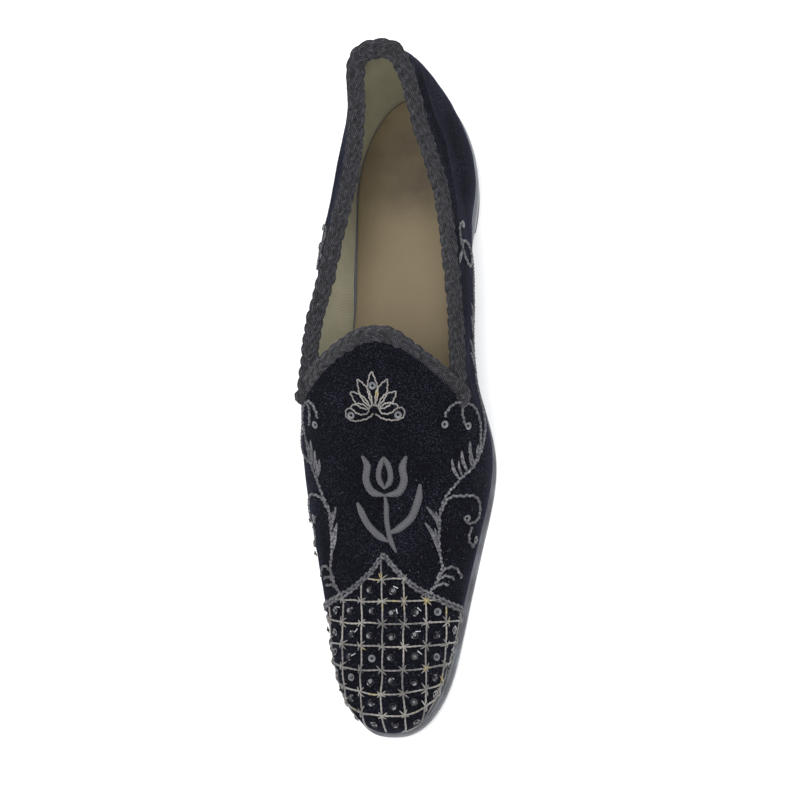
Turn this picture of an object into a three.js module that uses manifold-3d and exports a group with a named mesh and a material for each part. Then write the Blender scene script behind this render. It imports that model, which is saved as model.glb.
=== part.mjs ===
// A men's velvet house slipper for the right foot: a hollow upper with a rounded vamp tab, plaited braid
// along its collar, a stepped leather sole, a low stacked heel with its lift, and an insole.
// Millimetres. The toe points along -Y, the inner (medial) side along +X, and +Z is up.
import * as THREE from "three";
import { mergeVertices } from "three/addons/utils/BufferGeometryUtils.js";
import Module from "manifold-3d";

// Sole and heel
const SOLE_LENGTH = 290;
const BALL_WIDTH = 80;
const SOLE_THICKNESS = 4.5;
const WELT_STEP_HEIGHT = 1.7;
const WELT_STEP_INSET = 0.9;
const EDGE_BEVEL = 0.8;
const HEEL_HEIGHT = 12;
const HEEL_LENGTH = 66;
const HEEL_TAPER = 1.6;
const BREAST_HOLLOW = 4;
const LIFT_THICKNESS = 3;
const TOE_SPRING = 7;
const HEEL_ROUND_LENGTH = 52;
const TOE_ROUND_LENGTH = 38;

// Upper
const UPPER_WALL = 2.4;
const BACK_HEIGHT = 57;
const INSTEP_HEIGHT = 62.5;
const TAB_DISTANCE = 130;
const NOTCH_DISTANCE = 151;
const RIM_BACK_INSET = 1.2;
const RIM_ROUND_LENGTH = 13;
const TOE_BOX_ROUND_LENGTH = 26;

// Insole and braid
const INSOLE_THICKNESS = 2.5;
const BRAID_WIDTH = 7.2;
const BRAID_HEIGHT = 5;
const BRAID_LOBE = 0.55;
const BRAID_PITCH = 10;
const BRAID_END_OUT = 3.4;
const BRAID_END_RUN = 12;
const BRAID_END_PAST = 0.6;
const GAP = 0.3;

// How full each rounded end is: 2 is an ellipse, and more is squarer
const HEEL_FULLNESS = 2;
const TOE_FULLNESS = 2.6;
const RIM_FULLNESS = 2.1;
const TOE_BOX_FULLNESS = 2.4;

// Shares of the way to the notch from where the quarter's wall takes on the vamp's shape, low down and
// at its rim
const LOW_MERGE_START = 0.64;
const HIGH_MERGE_START = 0.9;

// Facets
const END_STEPS = 9;
const SOLE_STEPS = 16;
const QUARTER_COLUMNS = 60;
const QUARTER_STEPS = 8;
const TAB_COLUMNS = 10;
const VAMP_STEPS = 26;
const BRAID_SIDES = 8;
const STEPS_PER_PITCH = 5;

// Sole outline: at is a share of the sole's length, and the widths are shares of half the ball width.
const SOLE_ROWS = [
  { at: 0, medial: 0.742, lateral: 0.74 },
  { at: 0.165, medial: 0.76, lateral: 0.75 },
  { at: 0.235, medial: 0.715, lateral: 0.73 },
  { at: 0.345, medial: 0.635, lateral: 0.7 },
  { at: 0.43, medial: 0.7, lateral: 0.8 },
  { at: 0.51, medial: 0.885, lateral: 0.945 },
  { at: 0.59, medial: 1.015, lateral: 0.985 },
  { at: 0.64, medial: 0.985, lateral: 0.955 },
  { at: 0.7, medial: 0.9, lateral: 0.87 },
  { at: 0.78, medial: 0.795, lateral: 0.755 },
  { at: 0.87, medial: 0.69, lateral: 0.645 },
  { at: 1, medial: 0.545, lateral: 0.48 },
];

// Sole profile: lift is a share of the heel height and spring a share of the toe spring.
const PROFILE_ROWS = [
  { at: 0, lift: 1, spring: 0 },
  { at: 0.235, lift: 1, spring: 0 },
  { at: 0.3, lift: 0.87, spring: 0 },
  { at: 0.42, lift: 0.36, spring: 0 },
  { at: 0.5, lift: 0.07, spring: 0 },
  { at: 0.54, lift: 0, spring: 0 },
  { at: 0.69, lift: 0, spring: 0 },
  { at: 0.78, lift: 0, spring: 0.08 },
  { at: 0.88, lift: 0, spring: 0.37 },
  { at: 1, lift: 0, spring: 1 },
];

// Margin of sole that shows outside the upper, as a share of the sole's thickness.
const MARGIN_ROWS = [
  { at: 0, medial: 0.6, lateral: 0.6 },
  { at: 0.2, medial: 0.6, lateral: 0.6 },
  { at: 0.35, medial: 0.35, lateral: 0.35 },
  { at: 0.6, medial: 0.4, lateral: 0.4 },
  { at: 0.8, medial: 0.6, lateral: 0.45 },
  { at: 0.92, medial: 0.95, lateral: 0.35 },
  { at: 1, medial: 0.35, lateral: 0.35 },
];

// Vamp sections: ridge is a share of the instep height, the top columns are how far out the top of the
// arch stays, the swell columns are how far the wall swells, as shares of half the ball width, and
// rise is the share of the height where it swells.
const LAST_ROWS = [
  {
    at: 0.31, ridge: 1.1, rise: 0.4,
    topMedial: 1.2, topLateral: 1.25, swellMedial: 0.3, swellLateral: 0.2,
  },
  {
    at: 0.441, ridge: 1, rise: 0.4,
    topMedial: 1.3, topLateral: 1.3, swellMedial: 0.28, swellLateral: 0.2,
  },
  {
    at: 0.52, ridge: 0.89, rise: 0.4,
    topMedial: 1.27, topLateral: 1.38, swellMedial: 0.2, swellLateral: 0.12,
  },
  {
    at: 0.586, ridge: 0.745, rise: 0.42,
    topMedial: 0.98, topLateral: 1.02, swellMedial: 0.19, swellLateral: 0.26,
  },
  {
    at: 0.655, ridge: 0.62, rise: 0.44,
    topMedial: 0.8, topLateral: 0.84, swellMedial: 0.2, swellLateral: 0.31,
  },
  {
    at: 0.731, ridge: 0.518, rise: 0.48,
    topMedial: 0.7, topLateral: 0.74, swellMedial: 0.21, swellLateral: 0.34,
  },
  {
    at: 0.81, ridge: 0.425, rise: 0.54,
    topMedial: 0.68, topLateral: 0.7, swellMedial: 0.2, swellLateral: 0.29,
  },
  {
    at: 0.88, ridge: 0.35, rise: 0.6,
    topMedial: 0.7, topLateral: 0.71, swellMedial: 0.19, swellLateral: 0.21,
  },
  {
    at: 0.931, ridge: 0.295, rise: 0.64,
    topMedial: 0.72, topLateral: 0.73, swellMedial: 0.16, swellLateral: 0.16,
  },
  {
    at: 1, ridge: 0.225, rise: 0.66,
    topMedial: 0.74, topLateral: 0.74, swellMedial: 0.14, swellLateral: 0.14,
  },
];

// Collar rim: half widths as shares of half the ball width, and height as a share of the back height.
const RIM_ROWS = [
  { at: 0, medial: 0.31, lateral: 0.385, height: 1 },
  { at: 0.055, medial: 0.3, lateral: 0.385, height: 0.93 },
  { at: 0.1, medial: 0.372, lateral: 0.39, height: 0.87 },
  { at: 0.15, medial: 0.498, lateral: 0.428, height: 0.81 },
  { at: 0.21, medial: 0.63, lateral: 0.522, height: 0.745 },
  { at: 0.265, medial: 0.7, lateral: 0.625, height: 0.71 },
  { at: 0.35, medial: 0.77, lateral: 0.765, height: 0.695 },
  { at: 0.41, medial: 0.8, lateral: 0.865, height: 0.7 },
  { at: 0.46, medial: 0.82, lateral: 0.895, height: 0.715 },
  { at: 0.521, medial: 0.85, lateral: 0.93, height: 0.74 },
];

// Quarter walls: how far they swell low down and near the rim, as shares of half the ball width.
const WALL_ROWS = [
  { at: 0, lowMedial: 0.17, lowLateral: 0.17, highMedial: 0.13, highLateral: 0.16 },
  { at: 0.1, lowMedial: 0.17, lowLateral: 0.2, highMedial: 0.1, highLateral: 0.2 },
  { at: 0.2, lowMedial: 0.19, lowLateral: 0.28, highMedial: 0.08, highLateral: 0.22 },
  { at: 0.3, lowMedial: 0.29, lowLateral: 0.34, highMedial: 0.11, highLateral: 0.24 },
  { at: 0.4, lowMedial: 0.34, lowLateral: 0.22, highMedial: 0.08, highLateral: 0.12 },
  { at: 0.521, lowMedial: 0.26, lowLateral: 0.16, highMedial: 0.05, highLateral: 0.05 },
];

const COLOURS = {
  velvet: { color: 0x14151d, roughness: 0.95, metalness: 0 },
  braid: { color: 0x33343a, roughness: 0.9, metalness: 0 },
  sole: { color: 0x4b4c54, roughness: 0.55, metalness: 0 },
  lift: { color: 0x1c1c20, roughness: 0.8, metalness: 0 },
  insole: { color: 0xb9ae8f, roughness: 0.7, metalness: 0 },
};

const HALF_BALL = BALL_WIDTH / 2;
const SIDES = { medial: 1, lateral: -1 };

const wasm = await Module();
wasm.setup();

// A table's column at a share of the length, on a smooth curve through its rows.
function valueAt(rows, column, share) {
  const last = rows.length - 1;
  const at = THREE.MathUtils.clamp(share, rows[0].at, rows[last].at);
  let i = 0;
  while (i < last - 1 && at > rows[i + 1].at) i += 1;
  const slope = (k) => {
    const [before, after] = [Math.max(k - 1, 0), Math.min(k + 1, last)];
    const flat = (rows[k][column] - rows[before][column]) * (rows[after][column] - rows[k][column]) <= 0;
    if (flat && k > 0 && k < last) return 0;
    return (rows[after][column] - rows[before][column]) / (rows[after].at - rows[before].at);
  };
  const span = rows[i + 1].at - rows[i].at;
  const t = (at - rows[i].at) / span;
  const rising = t * t * (3 - 2 * t);
  return (
    rows[i][column] * (1 - rising) +
    rows[i + 1][column] * rising +
    span * t * (1 - t) * (slope(i) * (1 - t) - slope(i + 1) * t)
  );
}

// 1 where a rounded end starts, down to 0 at its tip, where u is 1.
function roundOff(u, fullness) {
  const inside = THREE.MathUtils.clamp(u, 0, 1);
  return (1 - inside ** fullness) ** (1 / fullness);
}

// Half width of the sole's outline, drawn in by an inset, at a distance from the heel's back.
function halfWidth(side, distance, inset) {
  const fromHeel = (HEEL_ROUND_LENGTH - distance) / (HEEL_ROUND_LENGTH - inset);
  const fromToe = (distance - SOLE_LENGTH + TOE_ROUND_LENGTH) / (TOE_ROUND_LENGTH - inset);
  const full = valueAt(SOLE_ROWS, side, distance / SOLE_LENGTH) * HALF_BALL - inset;
  return full * roundOff(fromHeel, HEEL_FULLNESS) * roundOff(fromToe, TOE_FULLNESS);
}

// Distances from the heel's back to the toe for an outline drawn in by an inset, closest at both ends.
function soleDistances(inset, from = inset, to = SOLE_LENGTH - inset) {
  const distances = [];
  for (let k = 0; k < END_STEPS; k += 1) {
    const turn = 1 - Math.cos(((k / END_STEPS) * Math.PI) / 2);
    distances.push(from + (HEEL_ROUND_LENGTH - from) * turn);
  }
  const toeStart = SOLE_LENGTH - TOE_ROUND_LENGTH;
  for (let k = 0; k < SOLE_STEPS; k += 1) {
    distances.push(HEEL_ROUND_LENGTH + ((toeStart - HEEL_ROUND_LENGTH) * k) / SOLE_STEPS);
  }
  for (let k = END_STEPS; k >= 0; k -= 1) {
    const turn = 1 - Math.cos(((k / END_STEPS) * Math.PI) / 2);
    distances.push(to - (to - toeStart) * turn);
  }
  return distances;
}

// Height of the sole's underside above the ground.
function underside(distance) {
  const share = distance / SOLE_LENGTH;
  const lift = HEEL_HEIGHT * valueAt(PROFILE_ROWS, "lift", share);
  return lift + TOE_SPRING * valueAt(PROFILE_ROWS, "spring", share);
}

// Height where the upper and the insole stand on the sole.
function seat(distance) {
  return underside(distance) + SOLE_THICKNESS + GAP;
}

function margin(side, distance) {
  return SOLE_THICKNESS * valueAt(MARGIN_ROWS, side, distance / SOLE_LENGTH);
}

const lengthwise = (distance) => SOLE_LENGTH / 2 - distance;

// Merges the corners of a list of triangles and drops those that closed up.
function geometryOf(corners) {
  const loose = new THREE.BufferGeometry().setFromPoints(corners);
  const merged = mergeVertices(loose, 1e-3);
  const index = merged.index.array;
  const kept = [];
  for (let i = 0; i < index.length; i += 3) {
    const [a, b, c] = [index[i], index[i + 1], index[i + 2]];
    if (a !== b && b !== c && c !== a) kept.push(a, b, c);
  }
  merged.setIndex(kept);
  return merged;
}

const quad = (a, b, c, d) => [a, b, c, a, c, d];

// A body lofted through rings from the bottom up. Each ring runs along the medial side from heel to toe and
// back along the lateral side, and the two ends are closed with strips from side to side.
function loft(rings) {
  const corners = [];
  const count = rings[0].length;
  for (let r = 0; r + 1 < rings.length; r += 1) {
    for (let i = 0; i < count; i += 1) {
      const next = (i + 1) % count;
      corners.push(...quad(rings[r][i], rings[r + 1][i], rings[r + 1][next], rings[r][next]));
    }
  }
  const [low, top] = [rings[0], rings[rings.length - 1]];
  for (let i = 0; i + 1 < count / 2; i += 1) {
    const [across, acrossNext] = [count - 1 - i, count - 2 - i];
    corners.push(...quad(low[i], low[i + 1], low[acrossNext], low[across]));
    corners.push(...quad(top[i], top[across], top[acrossNext], top[i + 1]));
  }
  return geometryOf(corners);
}

// One ring of the sole's outline at an inset, raised above a height that follows the distance.
function outlineRing(distances, insetAt, heightAt) {
  const point = (side, distance) =>
    new THREE.Vector3(
      SIDES[side] * halfWidth(side, distance, insetAt(side, distance)),
      lengthwise(distance),
      heightAt(distance),
    );
  return [
    ...distances.map((distance) => point("medial", distance)),
    ...[...distances].reverse().map((distance) => point("lateral", distance)),
  ];
}

// Outsole: a lower layer with a bevelled edge, and a narrower layer stepped in above it.
function outsole() {
  const stepHeight = SOLE_THICKNESS - WELT_STEP_HEIGHT;
  const edge = [
    { inset: EDGE_BEVEL, up: 0 },
    { inset: 0, up: EDGE_BEVEL },
    { inset: 0, up: stepHeight - GAP },
    { inset: WELT_STEP_INSET, up: stepHeight },
    { inset: WELT_STEP_INSET, up: SOLE_THICKNESS - EDGE_BEVEL / 2 },
    { inset: WELT_STEP_INSET + EDGE_BEVEL / 2, up: SOLE_THICKNESS },
  ];
  return loft(
    edge.map(({ inset, up }) =>
      outlineRing(soleDistances(inset), () => inset, (distance) => underside(distance) + up),
    ),
  );
}

function insole() {
  const inset = (side, distance) => margin(side, distance) + UPPER_WALL + 4 * GAP;
  const [back, front] = [inset("medial", 0), inset("medial", SOLE_LENGTH)];
  const distances = soleDistances(back, back, SOLE_LENGTH - front);
  const levels = [0, INSOLE_THICKNESS];
  return loft(levels.map((up) => outlineRing(distances, inset, (distance) => seat(distance) + up)));
}

// A slab of the heel between two heights: the sole's outline up to a hollowed breast, narrower lower down.
function heelSlab(bottom, top) {
  const drawnIn = (height) => EDGE_BEVEL + HEEL_TAPER * (1 - height / HEEL_HEIGHT);
  const ring = (height) => {
    const inset = drawnIn(height);
    const breast = HEEL_LENGTH - inset;
    const points = [];
    for (const side of ["medial", "lateral"]) {
      const half = [];
      for (let k = 0; k <= 2 * END_STEPS; k += 1) {
        const turn = 1 - Math.cos(((k / (2 * END_STEPS)) * Math.PI) / 2);
        const distance = inset + (breast - inset) * turn;
        half.push(
          new THREE.Vector3(SIDES[side] * halfWidth(side, distance, inset), lengthwise(distance), height),
        );
      }
      points.push(side === "medial" ? half : half.reverse());
    }
    const [medial, lateral] = points;
    const corner = medial[medial.length - 1];
    const hollow = [];
    for (let k = END_STEPS - 1; k > 0; k -= 1) {
      const across = (2 * k) / END_STEPS - 1;
      const depth = BREAST_HOLLOW * (1 - across * across);
      hollow.push(new THREE.Vector3(corner.x * across, corner.y + depth, height));
    }
    return [...medial, ...hollow, ...lateral];
  };
  return prism(ring(bottom), ring(top));
}

// A body between a lower and an upper ring of the same count, each closed by a flat face.
function prism(low, top) {
  const corners = [];
  low.forEach((point, i) => {
    const next = (i + 1) % low.length;
    corners.push(...quad(point, top[i], top[next], low[next]));
  });
  const flat = top.map((point) => new THREE.Vector2(point.x, point.y));
  for (const [a, b, c] of THREE.ShapeUtils.triangulateShape(flat, [])) {
    const turned = new THREE.Vector3().subVectors(top[b], top[a]).cross(
      new THREE.Vector3().subVectors(top[c], top[a]),
    ).z;
    const [second, third] = turned > 0 ? [b, c] : [c, b];
    corners.push(top[a], top[second], top[third]);
    corners.push(low[a], low[third], low[second]);
  }
  return geometryOf(corners);
}

// Point at u on the cubic curve of four control points.
function cubicPoint([p0, p1, p2, p3], u) {
  const v = 1 - u;
  return new THREE.Vector3()
    .addScaledVector(p0, v * v * v)
    .addScaledVector(p1, 3 * u * v * v)
    .addScaledVector(p2, 3 * u * u * v)
    .addScaledVector(p3, u * u * u);
}

// Control points of the part of a cubic curve that ends at u.
function cubicStart([p0, p1, p2, p3], u) {
  const mix = (a, b) => a.clone().lerp(b, u);
  const [a, b, c] = [mix(p0, p1), mix(p1, p2), mix(p2, p3)];
  const [d, e] = [mix(a, b), mix(b, c)];
  return [p0, a, d, mix(d, e)];
}

// Half of the last's cross-section, from the feather line where it meets the sole up to the ridge.
function lastSection(side, distance) {
  const at = distance / SOLE_LENGTH;
  const value = (column) => valueAt(LAST_ROWS, column, at);
  const edge = margin(side, SOLE_LENGTH);
  const toeRound = roundOff(
    (distance - SOLE_LENGTH + TOE_ROUND_LENGTH) / (TOE_ROUND_LENGTH - edge),
    TOE_FULLNESS,
  );
  const boxRound = roundOff(
    (distance - SOLE_LENGTH + TOE_BOX_ROUND_LENGTH) / (TOE_BOX_ROUND_LENGTH - edge),
    TOE_BOX_FULLNESS,
  );
  const suffix = side === "medial" ? "Medial" : "Lateral";
  const width = halfWidth(side, distance, margin(side, distance));
  const height = INSTEP_HEIGHT * value("ridge") * boxRound;
  const floor = seat(distance);
  const spread = value("swell" + suffix) * HALF_BALL * toeRound;
  const point = (x, up) => new THREE.Vector3(SIDES[side] * x, lengthwise(distance), floor + up);
  return [
    point(width, 0),
    point(width + spread, height * value("rise")),
    point(width * value("top" + suffix), height),
    point(0, height),
  ];
}

// The share of the notch's section that lies below the collar's rim.
function notchShare() {
  const share = valueAt(RIM_ROWS, "height", NOTCH_DISTANCE / SOLE_LENGTH);
  const wanted = seat(NOTCH_DISTANCE) + BACK_HEIGHT * share;
  let [low, high] = [0, 1];
  for (let k = 0; k < 40; k += 1) {
    const middle = (low + high) / 2;
    if (cubicPoint(lastSection("medial", NOTCH_DISTANCE), middle).z < wanted) low = middle;
    else high = middle;
  }
  return low;
}

const NOTCH_SHARE = notchShare();

// Half width of the collar's rim, seen from above.
function rimHalfWidth(side, distance) {
  const u = (RIM_ROUND_LENGTH + RIM_BACK_INSET - distance) / RIM_ROUND_LENGTH;
  return valueAt(RIM_ROWS, side, distance / SOLE_LENGTH) * HALF_BALL * roundOff(u, RIM_FULLNESS);
}

// One side of a quarter's lower or upper edge, from the heel's back to the notch, as points at even steps.
function quarterEdge(start, pointAt, count) {
  const dense = 200;
  const path = [];
  for (let k = 0; k <= dense; k += 1) {
    const turn = 1 - Math.cos(((k / dense) * Math.PI) / 2);
    path.push(pointAt(start + (NOTCH_DISTANCE - start) * turn));
  }
  const lengths = [0];
  for (let k = 1; k <= dense; k += 1) lengths.push(lengths[k - 1] + path[k].distanceTo(path[k - 1]));
  const points = [];
  let k = 0;
  for (let step = 0; step <= count; step += 1) {
    const wanted = (lengths[dense] * step) / count;
    while (k < dense - 1 && lengths[k + 1] < wanted) k += 1;
    const share = (wanted - lengths[k]) / (lengths[k + 1] - lengths[k]);
    points.push(path[k].clone().lerp(path[k + 1], share));
  }
  return points;
}

// Control points of one column of a quarter's wall, from the feather line to the rim.
function quarterColumn(side, low, high, outward) {
  const distance = SOLE_LENGTH / 2 - low.y;
  const at = distance / SOLE_LENGTH;
  const suffix = side === "medial" ? "Medial" : "Lateral";
  const lowSpread = valueAt(WALL_ROWS, "low" + suffix, at) * HALF_BALL;
  const highSpread = valueAt(WALL_ROWS, "high" + suffix, at) * HALF_BALL;
  const third = (high.z - low.z) / 3;
  const wall = [
    low,
    low.clone().addScaledVector(outward, lowSpread).setZ(low.z + third),
    high.clone().addScaledVector(outward, highSpread).setZ(high.z - third),
    high,
  ];
  const last = cubicStart(lastSection(side, Math.min(distance, NOTCH_DISTANCE)), NOTCH_SHARE);
  return wall.map((point, i) => {
    const mergeStart = i < 2 ? LOW_MERGE_START : HIGH_MERGE_START;
    const merge = THREE.MathUtils.smoothstep(distance, mergeStart * NOTCH_DISTANCE, NOTCH_DISTANCE);
    return point.clone().lerp(last[i], merge);
  });
}

// All columns of the quarters, from the medial notch round the heel to the lateral notch.
function quarterColumns() {
  const half = QUARTER_COLUMNS / 2;
  const columns = { medial: [], lateral: [] };
  for (const side of ["medial", "lateral"]) {
    const edge = margin(side, 0);
    const low = quarterEdge(edge, (distance) => outlinePoint(side, distance), half);
    const high = quarterEdge(RIM_BACK_INSET, (distance) => rimPoint(side, distance), half);
    low.forEach((point, k) => {
      const [before, after] = [low[Math.max(k - 1, 0)], low[Math.min(k + 1, half)]];
      const outward = new THREE.Vector3(before.y - after.y, after.x - before.x, 0).normalize();
      if (side === "lateral") outward.negate();
      if (k === 0) outward.set(0, 1, 0);
      columns[side].push(quarterColumn(side, point, high[k], outward));
    });
  }
  return [...columns.medial.reverse(), ...columns.lateral.slice(1)];
}

function outlinePoint(side, distance) {
  const x = SIDES[side] * halfWidth(side, distance, margin(side, distance));
  return new THREE.Vector3(x, lengthwise(distance), seat(distance));
}

function rimPoint(side, distance) {
  const height = BACK_HEIGHT * valueAt(RIM_ROWS, "height", distance / SOLE_LENGTH);
  const x = SIDES[side] * rimHalfWidth(side, distance);
  return new THREE.Vector3(x, lengthwise(distance), seat(distance) + height);
}

// Distance from the heel's back of the vamp's edge, where u runs from the feather line to the ridge.
function vampEdgeDistance(side, u) {
  if (u <= NOTCH_SHARE) return NOTCH_DISTANCE;
  const middle = lastSection(side, (NOTCH_DISTANCE + TAB_DISTANCE) / 2);
  const across = cubicPoint(middle, u).x / cubicPoint(middle, NOTCH_SHARE).x;
  return TAB_DISTANCE + (NOTCH_DISTANCE - TAB_DISTANCE) * across * across;
}

// The upper's outer face as vertices and quads that share them.
function upperFace() {
  const vertices = [];
  const faces = [];
  const add = (point) => vertices.push(point) - 1;
  const across = 2 * (QUARTER_STEPS + TAB_COLUMNS);
  const toeEnd = SOLE_LENGTH - margin("medial", SOLE_LENGTH);
  const toeTip = add(outlinePoint("medial", toeEnd).setX(0));
  const shareOf = (j) =>
    j <= QUARTER_STEPS
      ? (NOTCH_SHARE * j) / QUARTER_STEPS
      : NOTCH_SHARE + ((1 - NOTCH_SHARE) * (j - QUARTER_STEPS)) / TAB_COLUMNS;

  const vamp = [];
  for (let i = 0; i < VAMP_STEPS; i += 1) {
    const row = [];
    for (let j = 0; j <= across; j += 1) {
      const side = j <= across / 2 ? "medial" : "lateral";
      const u = shareOf(Math.min(j, across - j));
      const start = vampEdgeDistance(side, u);
      const run = toeEnd - start;
      const share = Math.sin(((i / VAMP_STEPS) * Math.PI) / 2) ** 1.15;
      row.push(add(cubicPoint(lastSection(side, start + run * share), u)));
    }
    vamp.push(row);
  }
  vamp.push(new Array(across + 1).fill(toeTip));
  for (let i = 0; i < VAMP_STEPS; i += 1) {
    for (let j = 0; j < across; j += 1) {
      faces.push([vamp[i][j], vamp[i][j + 1], vamp[i + 1][j + 1], vamp[i + 1][j]]);
    }
  }

  const columns = quarterColumns();
  const quarter = columns.map((controls, c) =>
    Array.from({ length: QUARTER_STEPS + 1 }, (_, j) => {
      if (c === 0) return vamp[0][j];
      if (c === QUARTER_COLUMNS) return vamp[0][across - j];
      return add(cubicPoint(controls, j / QUARTER_STEPS));
    }),
  );
  for (let c = 0; c < QUARTER_COLUMNS; c += 1) {
    for (let j = 0; j < QUARTER_STEPS; j += 1) {
      faces.push([quarter[c][j], quarter[c + 1][j], quarter[c + 1][j + 1], quarter[c][j + 1]]);
    }
  }
  const vampFeet = vamp.flatMap((row) => [row[0], row[across]]);
  const feather = new Set([toeTip, ...vampFeet, ...quarter.map((column) => column[0])]);
  const rim = quarter.map((column) => column[QUARTER_STEPS]);
  const tab = vamp[0].slice(QUARTER_STEPS, across - QUARTER_STEPS + 1).reverse();
  return { vertices, faces, feather, rim, tab };
}

// Average outward direction at each vertex of a face.
function vertexNormals({ vertices, faces }) {
  const normals = vertices.map(() => new THREE.Vector3());
  for (const [a, b, c, d] of faces) {
    const first = new THREE.Vector3().subVectors(vertices[c], vertices[a]);
    const second = new THREE.Vector3().subVectors(vertices[d], vertices[b]);
    const normal = first.cross(second);
    for (const corner of new Set([a, b, c, d])) normals[corner].add(normal);
  }
  return normals.map((normal) => normal.normalize());
}

// The upper as a closed shell between two depths below its outer face, cut level where it meets the sole.
// Its open edge is raised along the stations given, so that a larger shell can keep a gap round it.
function upperShell(face, outerDepth, innerDepth, raised = []) {
  const normals = vertexNormals(face);
  const raise = face.vertices.map(() => new THREE.Vector3());
  for (const { vertex, up } of raised) raise[vertex].addScaledVector(up, GAP);
  const layer = (depth) =>
    face.vertices.map((vertex, i) => {
      const moved = vertex.clone().addScaledVector(normals[i], -depth).add(raise[i]);
      return face.feather.has(i) ? moved.setZ(vertex.z) : moved;
    });
  const [outer, inner] = [layer(outerDepth), layer(innerDepth)];
  const corners = [];
  const open = new Map();
  for (const loop of face.faces) {
    const [a, b, c, d] = loop;
    corners.push(...quad(outer[a], outer[b], outer[c], outer[d]));
    corners.push(...quad(inner[a], inner[d], inner[c], inner[b]));
    loop.forEach((from, k) => {
      const to = loop[(k + 1) % 4];
      if (from === to) return;
      if (!open.delete(to + ">" + from)) open.set(from + ">" + to, [from, to]);
    });
  }
  for (const [from, to] of open.values()) {
    corners.push(...quad(outer[to], outer[from], inner[from], inner[to]));
  }
  return geometryOf(corners);
}

// A plaited cord along a path of stations, each with its centre and the directions across and up. A grown
// cord keeps a gap round it where it cuts another.
function braidAlong(stations, grown = 0) {
  const curve = new THREE.CatmullRomCurve3(stations.map(({ centre }) => centre));
  const steps = Math.round((curve.getLength() / BRAID_PITCH) * STEPS_PER_PITCH);
  const rings = [];
  for (let k = 0; k <= steps; k += 1) {
    const along = (k / steps) * (stations.length - 1);
    const i = Math.min(Math.floor(along), stations.length - 2);
    const mix = (key) => stations[i][key].clone().lerp(stations[i + 1][key], along - i);
    const centre = curve.getPoint(k / steps);
    const [across, up] = [mix("across").normalize(), mix("up").normalize()];
    const phase = (2 * Math.PI * k) / STEPS_PER_PITCH;
    rings.push(
      Array.from({ length: BRAID_SIDES }, (_, s) => {
        const turn = (2 * Math.PI * s) / BRAID_SIDES;
        const lobe = BRAID_LOBE * Math.cos(phase) * Math.cos(turn);
        return centre
          .clone()
          .addScaledVector(across, Math.cos(turn) * (BRAID_WIDTH / 2 + lobe + grown))
          .addScaledVector(up, Math.sin(turn) * (BRAID_HEIGHT / 2 + lobe / 2 + grown));
      }),
    );
  }
  const corners = [];
  for (let k = 0; k < steps; k += 1) {
    for (let s = 0; s < BRAID_SIDES; s += 1) {
      const next = (s + 1) % BRAID_SIDES;
      corners.push(...quad(rings[k][s], rings[k + 1][s], rings[k + 1][next], rings[k][next]));
    }
  }
  for (let s = 1; s + 1 < BRAID_SIDES; s += 1) {
    corners.push(rings[0][0], rings[0][s], rings[0][s + 1]);
    corners.push(rings[steps][0], rings[steps][s + 1], rings[steps][s]);
  }
  return geometryOf(corners);
}

// Stations for a braid that sits on an edge of the upper's wall.
function edgeStations(face, edge, normals) {
  return edge.map((vertex, k) => {
    const before = face.vertices[edge[Math.max(k - 1, 0)]];
    const after = face.vertices[edge[Math.min(k + 1, edge.length - 1)]];
    const tangent = new THREE.Vector3().subVectors(after, before).normalize();
    const across = normals[vertex].clone();
    const up = new THREE.Vector3().crossVectors(across, tangent).normalize();
    const centre = face.vertices[vertex]
      .clone()
      .addScaledVector(across, -UPPER_WALL / 2)
      .addScaledVector(up, BRAID_HEIGHT / 2 + BRAID_LOBE / 2 + GAP);
    return { vertex, centre, across, up, tangent };
  });
}

// The collar's braid leaves the rim at both notches and ends on the outside of the vamp.
function swingEndsOut(stations) {
  const lengths = [0];
  for (let k = 1; k < stations.length; k += 1) {
    lengths.push(lengths[k - 1] + stations[k].centre.distanceTo(stations[k - 1].centre));
  }
  const total = lengths[lengths.length - 1];
  stations.forEach((station, k) => {
    const fromEnd = Math.min(lengths[k], total - lengths[k]);
    const out = BRAID_END_OUT * (1 - THREE.MathUtils.smoothstep(fromEnd, 0, BRAID_END_RUN));
    station.centre.addScaledVector(station.across, out);
  });
  const [first, last] = [stations[0], stations[stations.length - 1]];
  const past = (station, way) => ({
    ...station,
    centre: station.centre.clone().addScaledVector(station.tangent, way * BRAID_END_PAST),
  });
  return [past(first, -1), ...stations, past(last, 1)];
}

// A closed geometry as a solid that can be cut.
function solidOf(geometry) {
  return new wasm.Manifold(
    new wasm.Mesh({
      numProp: 3,
      vertProperties: geometry.attributes.position.array,
      triVerts: new Uint32Array(geometry.index.array),
    }),
  );
}

// The largest body of a solid, as a geometry again.
function geometryFrom(solid) {
  const largest = solid.decompose().sort((a, b) => b.volume() - a.volume())[0];
  const mesh = largest.getMesh();
  const positions = new Float32Array(mesh.numVert * 3);
  for (let i = 0; i < mesh.numVert; i += 1) {
    positions.set(mesh.vertProperties.subarray(i * mesh.numProp, i * mesh.numProp + 3), i * 3);
  }
  return new THREE.BufferGeometry()
    .setAttribute("position", new THREE.BufferAttribute(positions, 3))
    .setIndex(new THREE.BufferAttribute(mesh.triVerts, 1));
}

function part(name, geometry, finish) {
  const mesh = new THREE.Mesh(geometry, new THREE.MeshStandardMaterial(finish));
  mesh.name = name;
  return mesh;
}

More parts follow.
